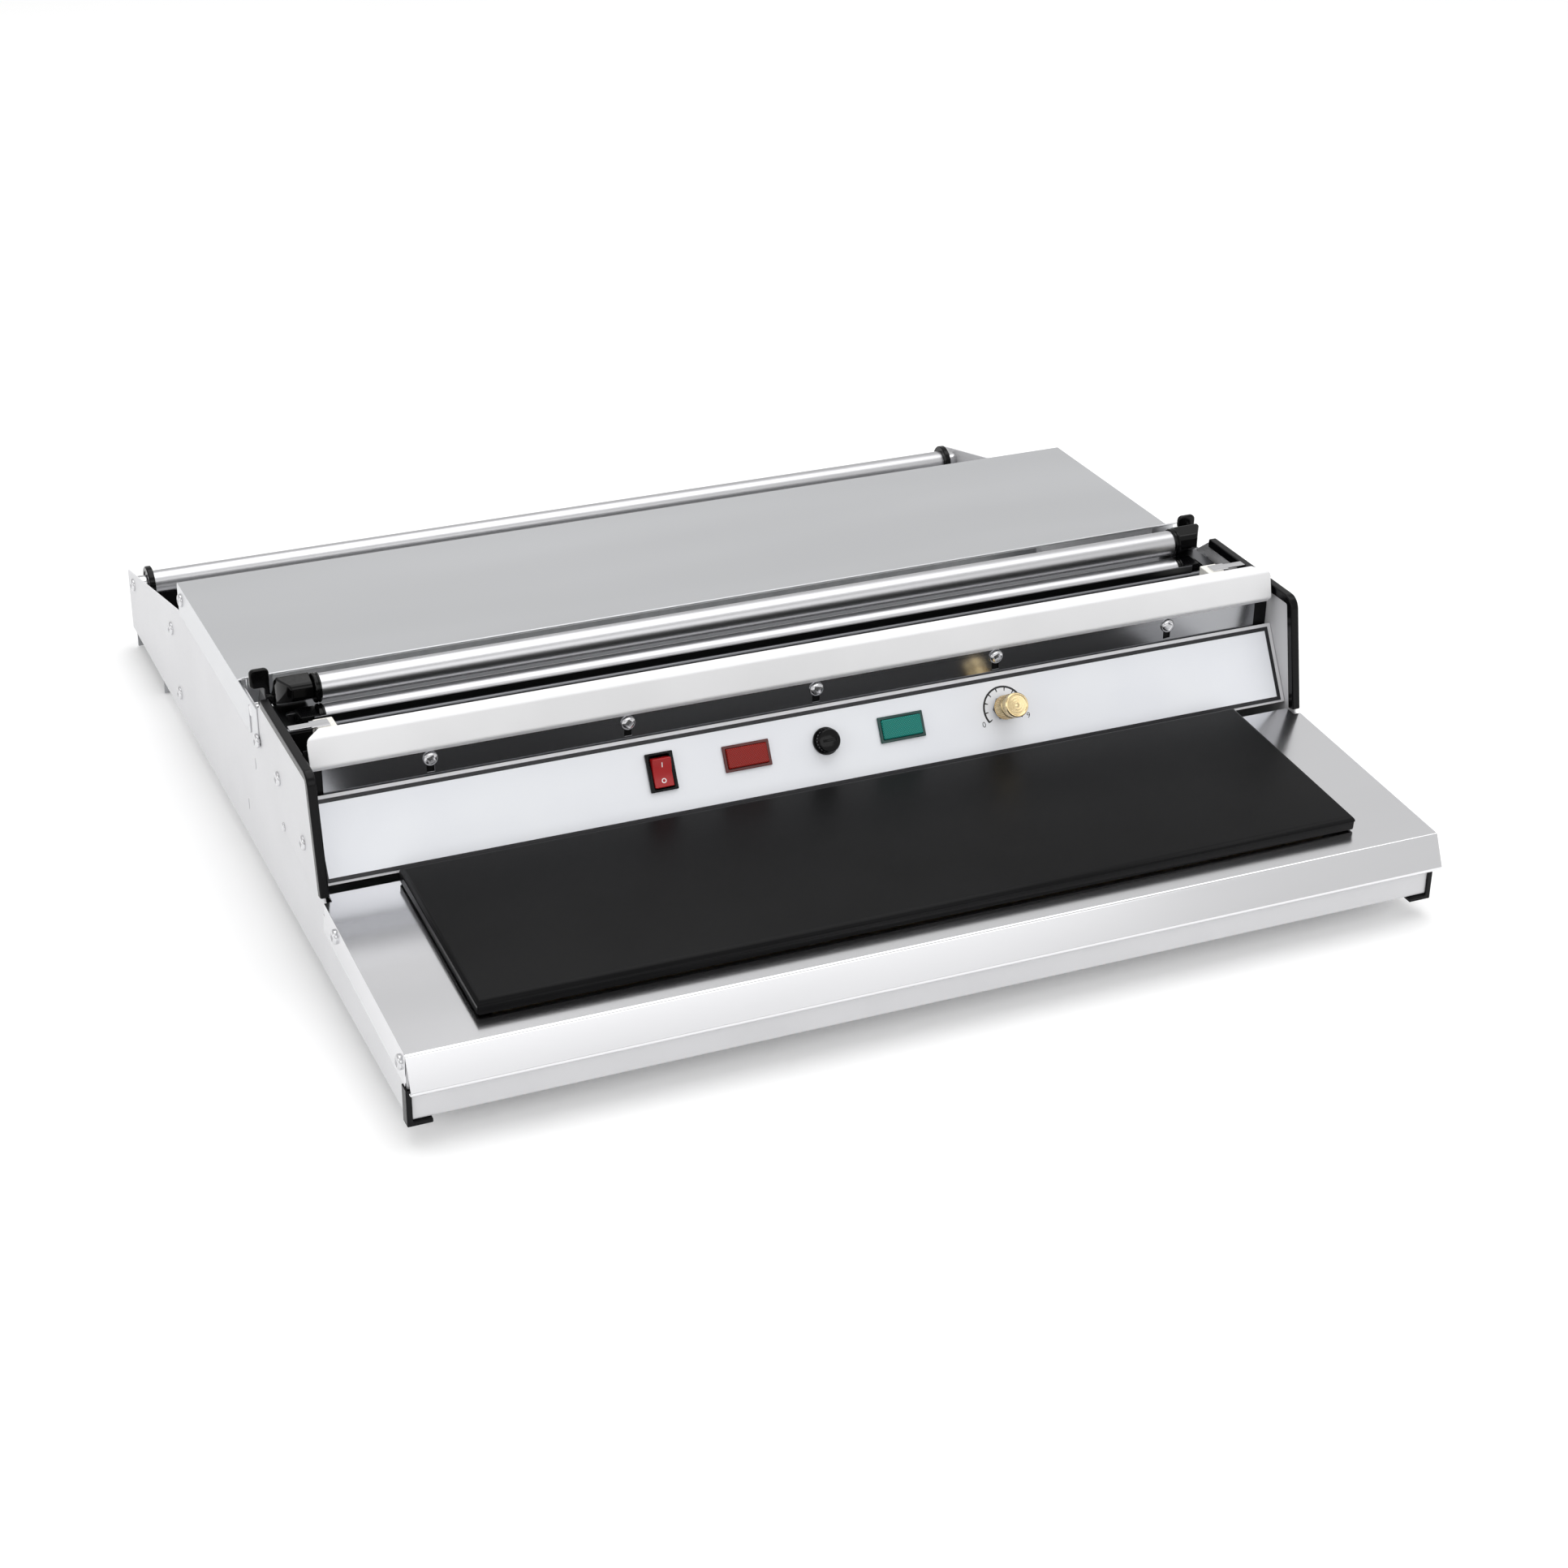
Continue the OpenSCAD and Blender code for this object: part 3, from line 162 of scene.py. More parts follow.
# satin stainless of the guide plate, much darker than the deck
guideSteel = brushedMetal("guideSatinStainless", "#6f7073", "#747578", 0.3, (400, 40, 40), 0.0005)
# polished stainless strip behind the cutter cover, which mirrors what lies in front of it
mirrorSteel = brushedMetal("polishedStainless", "#96979a", "#9c9da0", 0.17, (400, 60, 60), 0.0005)
# baked non-stick coat on the heating plate, matt black with a fine grain of 0.5 mm
heatCoat = coatedSteel("nonStickBlackCoat", "#0c0c0d", "#101011", 0.34, 0.5, 0.01,
                       {"Specular IOR Level": 0.09})
# painted shade: dull black on the sheets of the cutter channel and the rear wall, standing in for the shade
# in the hollows behind the front rollers and under the rear roller; the guide rail takes it too
paintedShadeSheet = coatedSteel("channelPaintedShadeBlack", "#09090a", "#0c0c0d", 0.42, 1.6, 0.008,
                         {"Specular IOR Level": 0.12})
# extruded black rubber edging, smooth with a soft shine
edgeRubber = mouldedPlastic("edgingRubber", "#08080a", "#0a0a0c", 0.2, 2.0, 0.003,
                            {"Specular IOR Level": 0.16})
# moulded rubber of the feet, dull
footRubber = mouldedPlastic("footRubber", "#151516", "#1b1b1c", 0.6, 0.6, 0.02)
# moulded black plastic with a faint spark-eroded grain
blackPlastic = mouldedPlastic("blackMouldedPlastic", "#07070a", "#0a0a0b", 0.28, 0.5, 0.005,
                              {"Specular IOR Level": 0.14})
# smooth glossy black plastic of the roller ends, the finger tabs and the fuse cap
glossBlack = mouldedPlastic("glossBlackPlastic", "#060607", "#090909", 0.12, 2.0, 0.002,
                            {"Specular IOR Level": 0.2})
# screen-printed polyester label, cool white under a satin film
labelFilm = mouldedPlastic("labelPolyester", "#edeff4", "#f1f3f7", 0.35, 1.2, 0.004)
# black printing ink, slightly duller than the film round it
printInk = mouldedPlastic("printInk", "#121217", "#17171c", 0.45, 0.8, 0.003)
# white printing ink of the rocker's marks
whiteInk = mouldedPlastic("whiteInk", "#efefef", "#f7f7f7", 0.4, 0.8, 0.003)
# glossy red plastic of the rocker
rockerRed = mouldedPlastic("rockerRedPlastic", "#a01216", "#ab171a", 0.2, 2.0, 0.004,
                           {"Specular IOR Level": 0.35})
# tinted clear lenses with a grid of prisms 1.3 mm apart
lensRed = ribbedLens("redLensPlastic", "#76100a", "#b52412", 1.3)
lensGreen = ribbedLens("greenLensPlastic", "#08625a", "#22ac9d", 1.3)
# the lamps' rims, glossy plastic of the same hues, much darker
rimRed = mouldedPlastic("redRimPlastic", "#4d0f0a", "#5a130c", 0.16, 2.0, 0.004,
                        {"Specular IOR Level": 0.4})
rimGreen = mouldedPlastic("greenRimPlastic", "#063430", "#0a403b", 0.16, 2.0, 0.004,
                          {"Specular IOR Level": 0.4})
# turned brass with a clear lacquer, pale and bright
knobBrass = brushedMetal("turnedBrass", "#dcc596", "#e5d0a4", 0.22, (3, 3, 3), 0.002)
# satin anodised aluminium tubes: the drawing marks along them are too fine to show, so only faint
# clouds are drawn, 40 mm wide and 400 mm long
rollerMetal = brushedMetal("anodisedAluminium", "#c6c6c8", "#c9c9cb", 0.33, (400, 40, 40), 0.0005)
# bright zinc plating on the screws
screwZinc = brushedMetal("brightZinc", "#cfcfd1", "#dadadc", 0.2, (2, 2, 2), 0.004)
# glazed white ceramic of the rod's holders
holderCeramic = mouldedPlastic("glazedCeramic", "#ece9e1", "#f3f1ea", 0.25, 3.0, 0.01)
# tinned brass leaf, with fine rolling marks along it
tinnedLeaf = brushedMetal("tinnedBrass", "#d5d5d7", "#e1e1e3", 0.22, (20, 0.8, 0.8))
# varnished mica, pressed fibre, laminated iron and nylon inside the base, and the fuse's glass
micaMat = mouldedPlastic("varnishedMica", "#a98f64", "#b9a27a", 0.4, 8.0, 0.02)
pressedFibre = mouldedPlastic("pressedFibre", "#cfcbbf", "#d9d5c9", 0.8, 1.5, 0.08)
ironCore = brushedMetal("laminatedIron", "#5e5e60", "#6d6d6f", 0.5, (30, 0.8, 30))
creamNylon = mouldedPlastic("creamNylon", "#dcd8ca", "#e6e2d6", 0.5)
clearGlass = newMaterial("fuseGlass", "#dfe4e6", 0.05, 0.0, {"Transmission Weight": 0.9})[0]
print("materials ready")

# the rear wall, the cutter channel and the guide rail take the black of painted shade
nodeFinish = {
    "side_plate_left": bodyCoat, "side_plate_right": bodyCoat, "front_panel": bodyCoat,
    "control_panel": bodyCoat, "cheek_trim_left": edgeRubber, "cheek_trim_right": edgeRubber,
    "corner_trims": edgeRubber, "base_pan": innerSheet, "front_feet": footRubber, "inner_wall": innerSheet,
    "cross_rail": innerSheet, "rear_channel": innerSheet, "rear_wall": paintedShadeSheet, "tray": traySteel,
    "tray_screws": screwZinc, "heating_plate": heatCoat, "heater_mat": micaMat,
    "insulation_pad": pressedFibre, "heater_posts": screwZinc, "panel_angles": innerSheet,
    "panel_label": labelFilm, "switch_body": blackPlastic, "rocker": rockerRed, "power_lamp_body": rimRed,
    "power_lamp_lens": lensRed, "heater_lamp_body": rimGreen, "heater_lamp_lens": lensGreen,
    "fuse_holder": glossBlack, "fuse_cap": glossBlack, "fuse_tube": clearGlass, "regulator_body": ironCore,
    "knob": knobBrass, "transformer": ironCore, "terminal_block": creamNylon, "cable_gland": blackPlastic,
    "cutter_channel": paintedShadeSheet, "cutter_strip": mirrorSteel, "strip_screws": screwZinc,
    "cutter_cover": coverCoat, "cutter_rod": blackPlastic, "ceramic_holders": holderCeramic,
    "terminal_leaves": tinnedLeaf, "guide_plate": guideSteel, "guide_rail": paintedShadeSheet,
    "lower_roller_holders": blackPlastic, "lower_roller_tube": rollerMetal,
    "lower_roller_flanges": glossBlack, "upper_roller_tube": rollerMetal, "upper_roller_flanges": glossBlack,
    "lift_arm_left": glossBlack, "lift_arm_right": glossBlack, "lift_pins": screwZinc, "deck": deckSteel,
    "deck_screws": screwZinc, "rear_roller_tube": rollerMetal, "rear_roller_caps": blackPlastic,
    "bay_roller_tube": rollerMetal, "bay_roller_caps": blackPlastic, "roller_pins": screwZinc,
    "side_screws": screwZinc}
bodyOf = {node: body for body, held in frame["record"]["behaviour"]["bodies"].items() for node in held}
for name, obj in nodes.items():
    obj.data.materials.clear()
    obj.data.materials.append(nodeFinish[name])


# Modelling helpers

def clearSelection():
    if bpy.context.mode != "OBJECT":
        bpy.ops.object.mode_set(mode="OBJECT")
    bpy.ops.object.select_all(action="DESELECT")


def choose(obj):
    clearSelection()
    obj.select_set(True)
    bpy.context.view_layer.objects.active = obj


def edit(obj, action):
    choose(obj)
    bpy.ops.object.mode_set(mode="EDIT")
    action()
    bpy.ops.object.mode_set(mode="OBJECT")
    return obj


def settle(obj):  # place, turn and scale go into the mesh
    choose(obj)
    bpy.ops.object.transform_apply(location=True, rotation=True, scale=True)
    return obj


def moved(obj, matrix):
    obj.matrix_world = matrix @ obj.matrix_world
    return settle(obj)


def pick(obj, kind, test):  # selects in edit mode by place or normal, in the object's own metres
    bpy.ops.mesh.select_mode(type=kind)
    bpy.ops.mesh.select_all(action="DESELECT")
    shape = bmesh.from_edit_mesh(obj.data)
    for item in {"VERT": shape.verts, "FACE": shape.faces}[kind]:
        item.select_set(bool(test(item)))
    shape.select_flush_mode()
    bmesh.update_edit_mesh(obj.data)


def mergeAll(gap=0.002):  # mm; all is selected after it
    bpy.ops.mesh.select_all(action="SELECT")
    bpy.ops.mesh.remove_doubles(threshold=gap * mm)


def applyModifier(obj, kind, settings):
    choose(obj)
    modifier = obj.modifiers.new(kind, kind)
    for key, value in settings.items():
        setattr(modifier, key, value)
    bpy.ops.object.modifier_apply(modifier=modifier.name)


def roundEdges(obj, width, segments, clamp=True):
    applyModifier(obj, "BEVEL", {"width": width * mm, "segments": segments, "limit_method": "ANGLE",
                                 "angle_limit": radians(35), "use_clamp_overlap": clamp,
                                 "miter_outer": "MITER_ARC"})


def cutAway(obj, cutter):
    applyModifier(obj, "BOOLEAN", {"operation": "DIFFERENCE", "solver": "EXACT", "object": cutter})
    bpy.data.objects.remove(cutter, do_unlink=True)


def smooth(obj, angle=40):
    choose(obj)
    bpy.ops.object.shade_smooth_by_angle(angle=radians(angle))


def finishPiece(obj, finish, node):
    settle(obj)
    obj.data.materials.clear()
    obj.data.materials.append(finish)
    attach(obj, bodyOf[node])
    return obj


def joined(name, parts):
    clearSelection()
    for part in parts:
        part.select_set(True)
    bpy.context.view_layer.objects.active = parts[0]
    bpy.ops.object.join()
    parts[0].name = name
    return parts[0]


def copied(obj, name):
    twin = obj.copy()
    twin.data = obj.data.copy()
    twin.name = name
    bpy.context.scene.collection.objects.link(twin)
    return twin


def pieceName(node):  # side_plate_left becomes sidePlateLeftPiece
    first, *others = node.split("_")
    return first + "".join(word.capitalize() for word in others) + "Piece"


def wholeFaces():
    mergeAll()
    bpy.ops.mesh.dissolve_limited(angle_limit=radians(1.5))


def dressedCopy(node, edge, steps):  # the node's own shape with whole flat faces and rounded edges
    twin = copied(nodes[node], pieceName(node))
    twin.parent = None
    edit(twin, wholeFaces)
    roundEdges(twin, edge, steps, clamp=False)
    smooth(twin, 30)
    # flat sheets shade flat beside their rounded edges
    applyModifier(twin, "WEIGHTED_NORMAL", {"keep_sharp": True, "weight": 100})
    finishPiece(twin, nodeFinish[node], node)
    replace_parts(twin, node)


# Folded, extruded and moulded pieces whose edges are rounded: the width in mm, and the number of steps
edgeRounding = {
    "side_plate_left": (0.3, 2), "side_plate_right": (0.3, 2), "front_panel": (0.25, 2),
    "control_panel": (0.25, 2), "tray": (0.3, 2), "deck": (0.3, 2), "cutter_cover": (0.3, 2),
    "guide_plate": (0.25, 2), "cutter_strip": (0.15, 1), "cutter_channel": (0.2, 1),
    "corner_trims": (0.6, 3), "cheek_trim_left": (0.9, 4), "cheek_trim_right": (0.9, 4),
    "lift_arm_left": (1.0, 4), "lift_arm_right": (1.0, 4), "switch_body": (0.5, 3), "rocker": (0.6, 3),
    "power_lamp_body": (0.4, 3), "power_lamp_lens": (0.8, 4), "heater_lamp_body": (0.4, 3),
    "heater_lamp_lens": (0.8, 4), "cable_gland": (0.4, 2), "front_feet": (0.5, 2), "guide_rail": (0.2, 1),
    "upper_roller_tube": (0.3, 2), "lower_roller_tube": (0.3, 2), "rear_roller_tube": (0.3, 2),
    "bay_roller_tube": (0.3, 2), "cutter_rod": (0.4, 2), "rear_channel": (0.25, 1), "rear_wall": (0.25, 1),
    "cross_rail": (0.25, 1), "inner_wall": (0.2, 1), "base_pan": (0.2, 1), "ceramic_holders": (0.8, 3),
    "terminal_leaves": (0.2, 2), "lower_roller_holders": (0.6, 2)}
for node, (edge, steps) in edgeRounding.items():
    dressedCopy(node, edge, steps)
print("rounded pieces ready:", len(edgeRounding))


# Pieces modelled one by one. Each is made at the origin with its face along +Z, then laid in its place.

def turned(name, profile, steps=64):  # radius and height in mm, ring after ring, from foot to last face
    clearSelection()
    bpy.ops.mesh.primitive_circle_add(vertices=steps, radius=profile[0][0] * mm, fill_type="NGON",
                                      location=(0, 0, profile[0][1] * mm))
    obj = bpy.context.object
    obj.name = name

    def pull():
        bpy.ops.mesh.select_all(action="SELECT")
        for (r0, z0), (r1, z1) in zip(profile, profile[1:]):
            bpy.ops.mesh.extrude_region_move(TRANSFORM_OT_translate={"value": (0, 0, (z1 - z0) * mm)})
            if r1 != r0:
                bpy.ops.transform.resize(value=(r1 / r0, r1 / r0, 1), center_override=(0, 0, 0))
        mergeAll(0.001)
        bpy.ops.mesh.normals_make_consistent(inside=False)
    edit(obj, pull)
    return settle(obj)


def block(width, depth, height, z=0.0):  # mm, its middle at height z
    clearSelection()
    bpy.ops.mesh.primitive_cube_add(size=1, location=(0, 0, z * mm))
    obj = bpy.context.object
    obj.scale = (width * mm, depth * mm, height * mm)
    return settle(obj)


def sinkRibs(obj, sizes):  # every other facet of the rim is sunk, between the rim's foot and ribTop
    def isGap(face):
        middle = face.calc_center_median()
        facet = round(atan2(middle.y, middle.x) / (pi / sizes["ribs"]) - 0.5)
        return abs(face.normal.z) < 0.1 and 0.6 < middle.z / mm < sizes["ribTop"] and facet % 2 == 0

    def sink():
        pick(obj, "FACE", isGap)
        bpy.ops.mesh.inset(thickness=sizes["ribWall"] * mm, depth=-sizes["ribDepth"] * mm,
                           use_individual=True)
    edit(obj, sink)


# The leaning panel: its degrees from upright, and the place of its lower edge
panelSizes = {"lean": 30, "y": 157.4, "z": 49.8}
panelLean = radians(panelSizes["lean"])
panelTurn = Matrix(((1, 0, 0), (0, sin(panelLean), -cos(panelLean)), (0, cos(panelLean), sin(panelLean))))
panelPlace = Matrix.Translation(at(0, panelSizes["y"], panelSizes["z"])) @ panelTurn.to_4x4()


def onPanel(x, v, z=0.0):
    return panelPlace @ Matrix.Translation(Vector((x, v, z)) * mm)


bothSides = (1, -1)  # right and left


def toSide(side, x, y, z):
    return Matrix.Translation(at(side * x, y, z)) @ Matrix.Rotation(side * pi / 2, 4, "Y")


# Rollers: how far back and how high each axis lies, and the sizes of their ends. The discs are turned, with
# a groove round the rim or in the face, and the rear ones have a blind bore for the pin.
rollerAxes = {"upper": (254.2, 119.2), "lower": (247.2, 103.9), "rear": (609, 37.5), "bay": (494, 56)}
rollerEnds = {"upperR": 8.6, "lowerR": 7.9, "flangeX": 268.5, "capX": 287.5,
              "cap": [(6, -10), (6, 0), (10.5, 0), (11, 0.5), (11, 3.4), (10.4, 4), (8.2, 4), (7.8, 3.5),
                      (5.4, 3.5), (5.0, 4), (3.05, 4), (3.05, -6.0)]}

# Pan-head screws with a cross recess: one pattern for each length, copied to every place
screwSizes = {"headR": 4.2, "headH": 2.2, "reach": 2.3, "slot": 0.75, "recess": 1.5, "slotFoot": 0.55,
              "long": [(2.0, -5), (2.0, 0)], "short": [(2.0, -4), (2.0, 0)],
              "pin": [(3.0, -17.9), (3.0, -8.2), (5.5, -8.2), (5.5, -1.2), (3.0, -1.2), (3.0, 0)],
              "domeR": 2.6, "domeH": 1.4, "domeFoot": [(2.0, -1.2), (2.0, 0), (2.6, 0)],
              "turn": {1: 27, -1: 61}}
screwPlaces = {"side": [(300, 182.7, 64.4), (300, 231, 79.5), (301, 271, 84), (300, 483.6, 16)],
               "dome": (300, 226, 52), "tray": [(301, 8, 31), (301, 123, 39)], "deck": [(301, 452, 93)],
               "pins": [(300, *rollerAxes["rear"]), (300, *rollerAxes["bay"])]}
stripScrews = {"count": 5, "pitch": 113.8, "y": 182.8, "z": 101.3, "turn": 20, "turnStep": 31}


def roundedHead(r, h):
    crown = [(r * (0.25 + 0.75 * cos(a)), h * (0.3 + 0.7 * sin(a))) for a in map(radians, range(15, 90, 15))]
    return [(r, h * 0.3)] + crown


def crossRecess(obj):  # a cross with a narrowed foot is cut out of the crown
    width, depth, over = screwSizes["slot"], screwSizes["recess"], 0.2
    cutter = block(width, width, depth + over, screwSizes["headH"] - depth / 2 + over / 2)

    def arms():
        for side in (Vector((1, 0, 0)), Vector((-1, 0, 0)), Vector((0, 1, 0)), Vector((0, -1, 0))):
            pick(cutter, "FACE", lambda f: f.normal.dot(side) > 0.9)
            bpy.ops.mesh.extrude_region_move(
                TRANSFORM_OT_translate={"value": side * (screwSizes["reach"] - width / 2) * mm})
        pick(cutter, "FACE", lambda f: f.normal.z < -0.9)
        foot = screwSizes["slotFoot"]
        bpy.ops.transform.resize(value=(foot, foot, 1), center_override=(0, 0, 0))
    edit(cutter, arms)
    cutAway(obj, cutter)


def screwPattern(name, shank):
    head = roundedHead(screwSizes["headR"], screwSizes["headH"])
    obj = turned(name, shank + [(screwSizes["headR"], 0)] + head, 48)
    crossRecess(obj)
    smooth(obj)
    return obj


def sidePlaces(key):  # the same places on both sides, each side's recesses turned its own way
    return [toSide(s, *place) @ Matrix.Rotation(radians(screwSizes["turn"][s]), 4, "Z")
            for s in bothSides for place in screwPlaces[key]]


def placed(pattern, name, places):
    return [moved(copied(pattern, name), place) for place in places]


def screwSet(name, node, parts):
    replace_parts(finishPiece(joined(name, parts), screwZinc, node), node)


longScrew = screwPattern("longScrewPattern", screwSizes["long"])
shortScrew = screwPattern("shortScrewPattern", screwSizes["short"])
pinScrew = screwPattern("pinPattern", screwSizes["pin"])
dome = turned("domePattern",
              screwSizes["domeFoot"] + roundedHead(screwSizes["domeR"], screwSizes["domeH"]), 32)
smooth(dome)
screwSet("sideScrewsPiece", "side_screws",
         placed(longScrew, "sideScrew", sidePlaces("side"))
         + placed(dome, "sideDome", [toSide(s, *screwPlaces["dome"]) for s in bothSides]))
screwSet("trayScrewsPiece", "tray_screws", placed(shortScrew, "trayScrew", sidePlaces("tray")))
screwSet("deckScrewsPiece", "deck_screws", placed(shortScrew, "deckScrew", sidePlaces("deck")))
screwSet("rollerPinsPiece", "roller_pins", placed(pinScrew, "rollerPin", sidePlaces("pins")))
stripPlaces = []
for i in range(stripScrews["count"]):
    x = (i - (stripScrews["count"] - 1) / 2) * stripScrews["pitch"]
    stripPlaces.append(Matrix.Translation(at(x, stripScrews["y"], stripScrews["z"]))
                       @ Matrix.Rotation(pi / 2, 4, "X")
                       @ Matrix.Rotation(radians(stripScrews["turn"] + stripScrews["turnStep"] * i), 4, "Z"))
screwSet("stripScrewsPiece", "strip_screws", placed(longScrew, "stripScrew", stripPlaces))
for pattern in (longScrew, shortScrew, pinScrew, dome):
    bpy.data.objects.remove(pattern, do_unlink=True)
print("screws ready")


def flangeRings(r):  # a plug that goes into the tube, a grooved disc and the journal outside it
    return [(6, -10), (6, 0), (r - 0.4, 0), (r, 0.4), (r, 1.1), (r - 0.5, 1.4), (r - 0.5, 2.0), (r, 2.3),
            (r, 3.1), (r - 0.4, 3.5), (3.9, 3.5), (3.0, 3.6), (3.0, 13.2), (2.7, 13.5)]


def pairOfEnds(name, node, rings, x, axis):
    pattern = turned(name, rings)
    smooth(pattern)
    ends = [pattern, copied(pattern, name)]
    for s, end in zip(bothSides, ends):
        moved(end, toSide(s, x, *axis))
    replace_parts(finishPiece(joined(name, ends), glossBlack, node), node)


for key in ("upper", "lower"):
    pairOfEnds(key + "FlangesPiece", key + "_roller_flanges", flangeRings(rollerEnds[key + "R"]),
               rollerEnds["flangeX"], rollerAxes[key])
for key in ("rear", "bay"):
    pairOfEnds(key + "CapsPiece", key + "_roller_caps", rollerEnds["cap"], rollerEnds["capX"],
               rollerAxes[key])
print("roller ends ready")

# Knob: turned brass with a ribbed skirt, a waist, a polished band and a dished face with fine rings
knobSizes = {"x": 114.0, "v": 27.2, "base": 3.3, "ribs": 36, "ribTop": 9.5, "ribWall": 0.06, "ribDepth": 0.3,
             "stem": [(2.95, -11.3), (2.95, -1), (2.95, 0)],
             "skirt": [(6.8, 0), (7.2, 0.5), (7.2, 9.6)],
             "waist": [(6.95, 9.9), (6.8, 10.3), (6.8, 11.0)],
             "band": [(7.1, 11.5), (7.2, 12.5), (7.2, 15.9), (6.7, 16.5)],
             "face": [(6.1, 16.5), (5.8, 16.2), (4.6, 16.15), (4.4, 16.25), (3.1, 16.2), (2.9, 16.3),
                      (1.5, 16.25), (1.2, 16.4), (0.3, 16.5)]}
knobRings = [ring for key in ("stem", "skirt", "waist", "band", "face") for ring in knobSizes[key]]
knobPiece = turned("knobPiece", knobRings, 2 * knobSizes["ribs"])
sinkRibs(knobPiece, knobSizes)
smooth(knobPiece, 28)
moved(knobPiece, onPanel(knobSizes["x"], knobSizes["v"], knobSizes["base"]))
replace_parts(finishPiece(knobPiece, knobBrass, "knob"), "knob")

# Fuse: a flange with a raised rim, and a ribbed cap with a driver's slot
fuseSizes = {"x": 0.9, "v": 27.2, "capFoot": 2.4, "ribs": 24, "ribTop": 3.4, "ribWall": 0.08, "ribDepth": 0.3,
             "rings": [(4.0, -8), (4.0, 0), (6.6, 0), (7.0, 0.4), (7.0, 3.6), (6.4, 4.6), (5.6, 5.0),
                       (0.4, 5.0)],
             "slot": (8.4, 1.4, 2.0), "slotMid": 4.8, "slotRound": 0.3, "holderRound": 0.4}
fusePiece = turned("fuseCapPiece", fuseSizes["rings"], 2 * fuseSizes["ribs"])
sinkRibs(fusePiece, fuseSizes)
slotCutter = block(*fuseSizes["slot"], fuseSizes["slotMid"])
roundEdges(slotCutter, fuseSizes["slotRound"], 2)
cutAway(fusePiece, slotCutter)
smooth(fusePiece, 28)
moved(fusePiece, onPanel(fuseSizes["x"], fuseSizes["v"], fuseSizes["capFoot"]))
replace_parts(finishPiece(fusePiece, glossBlack, "fuse_cap"), "fuse_cap")
dressedCopy("fuse_holder", fuseSizes["holderRound"], 2)
print("knob and fuse ready")

# Printing on the label: a black frame, the regulator's arc with ten marks inside it and its two numbers
labelSizes = {"halfW": 295.8, "foot": 1.3, "top": 46.1, "line": 2.3, "face": 0.5, "ink": 0.04}
dial = {"x": 114.0, "v": 27.1, "r": 12.46, "sweep": 123.5, "line": 1.15, "marks": 10, "markLen": 2.0,
        "markW": 0.8, "markFoot": 0.6, "overlap": 0.1, "numbers": (("0", -14.1, -7.7), ("9", 14.9, -6.9)),
        "numberHigh": 4.7, "numberThin": 0.02}


def flatSheet(width, height, y=0.0):  # mm
    clearSelection()
    bpy.ops.mesh.primitive_plane_add(size=1, location=(0, y * mm, 0))
    obj = bpy.context.object
    obj.scale = (width * mm, height * mm, 1)
    return settle(obj)


def flatDisc(r, steps):
    clearSelection()
    bpy.ops.mesh.primitive_circle_add(vertices=steps, radius=r * mm, fill_type="NGON")
    return bpy.context.object


def thicken():  # the whole mesh, by the thickness of the ink
    bpy.ops.mesh.select_all(action="SELECT")
    bpy.ops.mesh.extrude_region_move(TRANSFORM_OT_translate={"value": (0, 0, labelSizes["ink"] * mm)})
    bpy.ops.mesh.select_all(action="SELECT")
    bpy.ops.mesh.normals_make_consistent(inside=False)


def openMiddle(line):  # only a line of this width stays along the rim
    bpy.ops.mesh.select_all(action="SELECT")
    bpy.ops.mesh.inset(thickness=line * mm)
    bpy.ops.mesh.delete(type="FACE")


def cutFrame():
    openMiddle(labelSizes["line"])
    thicken()


labelFrame = flatSheet(2 * labelSizes["halfW"], labelSizes["top"] - labelSizes["foot"],
                       (labelSizes["foot"] + labelSizes["top"]) / 2)
edit(labelFrame, cutFrame)
moved(labelFrame, onPanel(0, 0, labelSizes["face"]))
labelFrame.name = "labelFramePrint"
finishPiece(labelFrame, printInk, "panel_label")


def pastSweep(face):
    middle = face.calc_center_median()
    return abs(atan2(middle.x, middle.y)) > radians(dial["sweep"])


def cutArc():
    openMiddle(dial["line"])
    pick(dialArc, "FACE", pastSweep)
    bpy.ops.mesh.delete(type="FACE")
    thicken()


def narrowMark():
    pick(mark, "VERT", lambda v: v.co.y < 0)
    bpy.ops.transform.resize(value=(dial["markFoot"], 1, 1), center_override=(0, 0, 0))
    thicken()


def number(body, x, v):
    clearSelection()
    bpy.ops.object.text_add()
    obj = bpy.context.object
    obj.data.body = body
    obj.data.align_x = "CENTER"
    obj.data.align_y = "CENTER"
    obj.data.size = dial["numberHigh"] * mm
    obj.data.offset = -dial["numberThin"] * mm
    obj.data.extrude = labelSizes["ink"] / 2 * mm
    bpy.ops.object.convert(target="MESH")
    edit(obj, lambda: mergeAll(0.001))
    return moved(obj, Matrix.Translation(Vector((x, v, labelSizes["ink"] / 2)) * mm))


dialArc = flatDisc(dial["r"] + dial["line"] / 2, 180)
edit(dialArc, cutArc)
mark = flatSheet(dial["markW"], dial["markLen"])
edit(mark, narrowMark)
dialParts = [dialArc]
markReach = dial["r"] - dial["line"] / 2 - dial["markLen"] / 2 + dial["overlap"]
for i in range(dial["marks"]):
    angle = radians(dial["sweep"] * (1 - 2 * i / (dial["marks"] - 1)))
    place = Matrix.Rotation(angle, 4, "Z") @ Matrix.Translation((0, markReach * mm, 0))
    dialParts.append(moved(copied(mark, "dialMark"), place))
bpy.data.objects.remove(mark, do_unlink=True)
dialParts += [number(*entry) for entry in dial["numbers"]]
dialPrint = joined("dialPrint", dialParts)
moved(dialPrint, onPanel(dial["x"], dial["v"], labelSizes["face"]))
finishPiece(dialPrint, printInk, "panel_label")

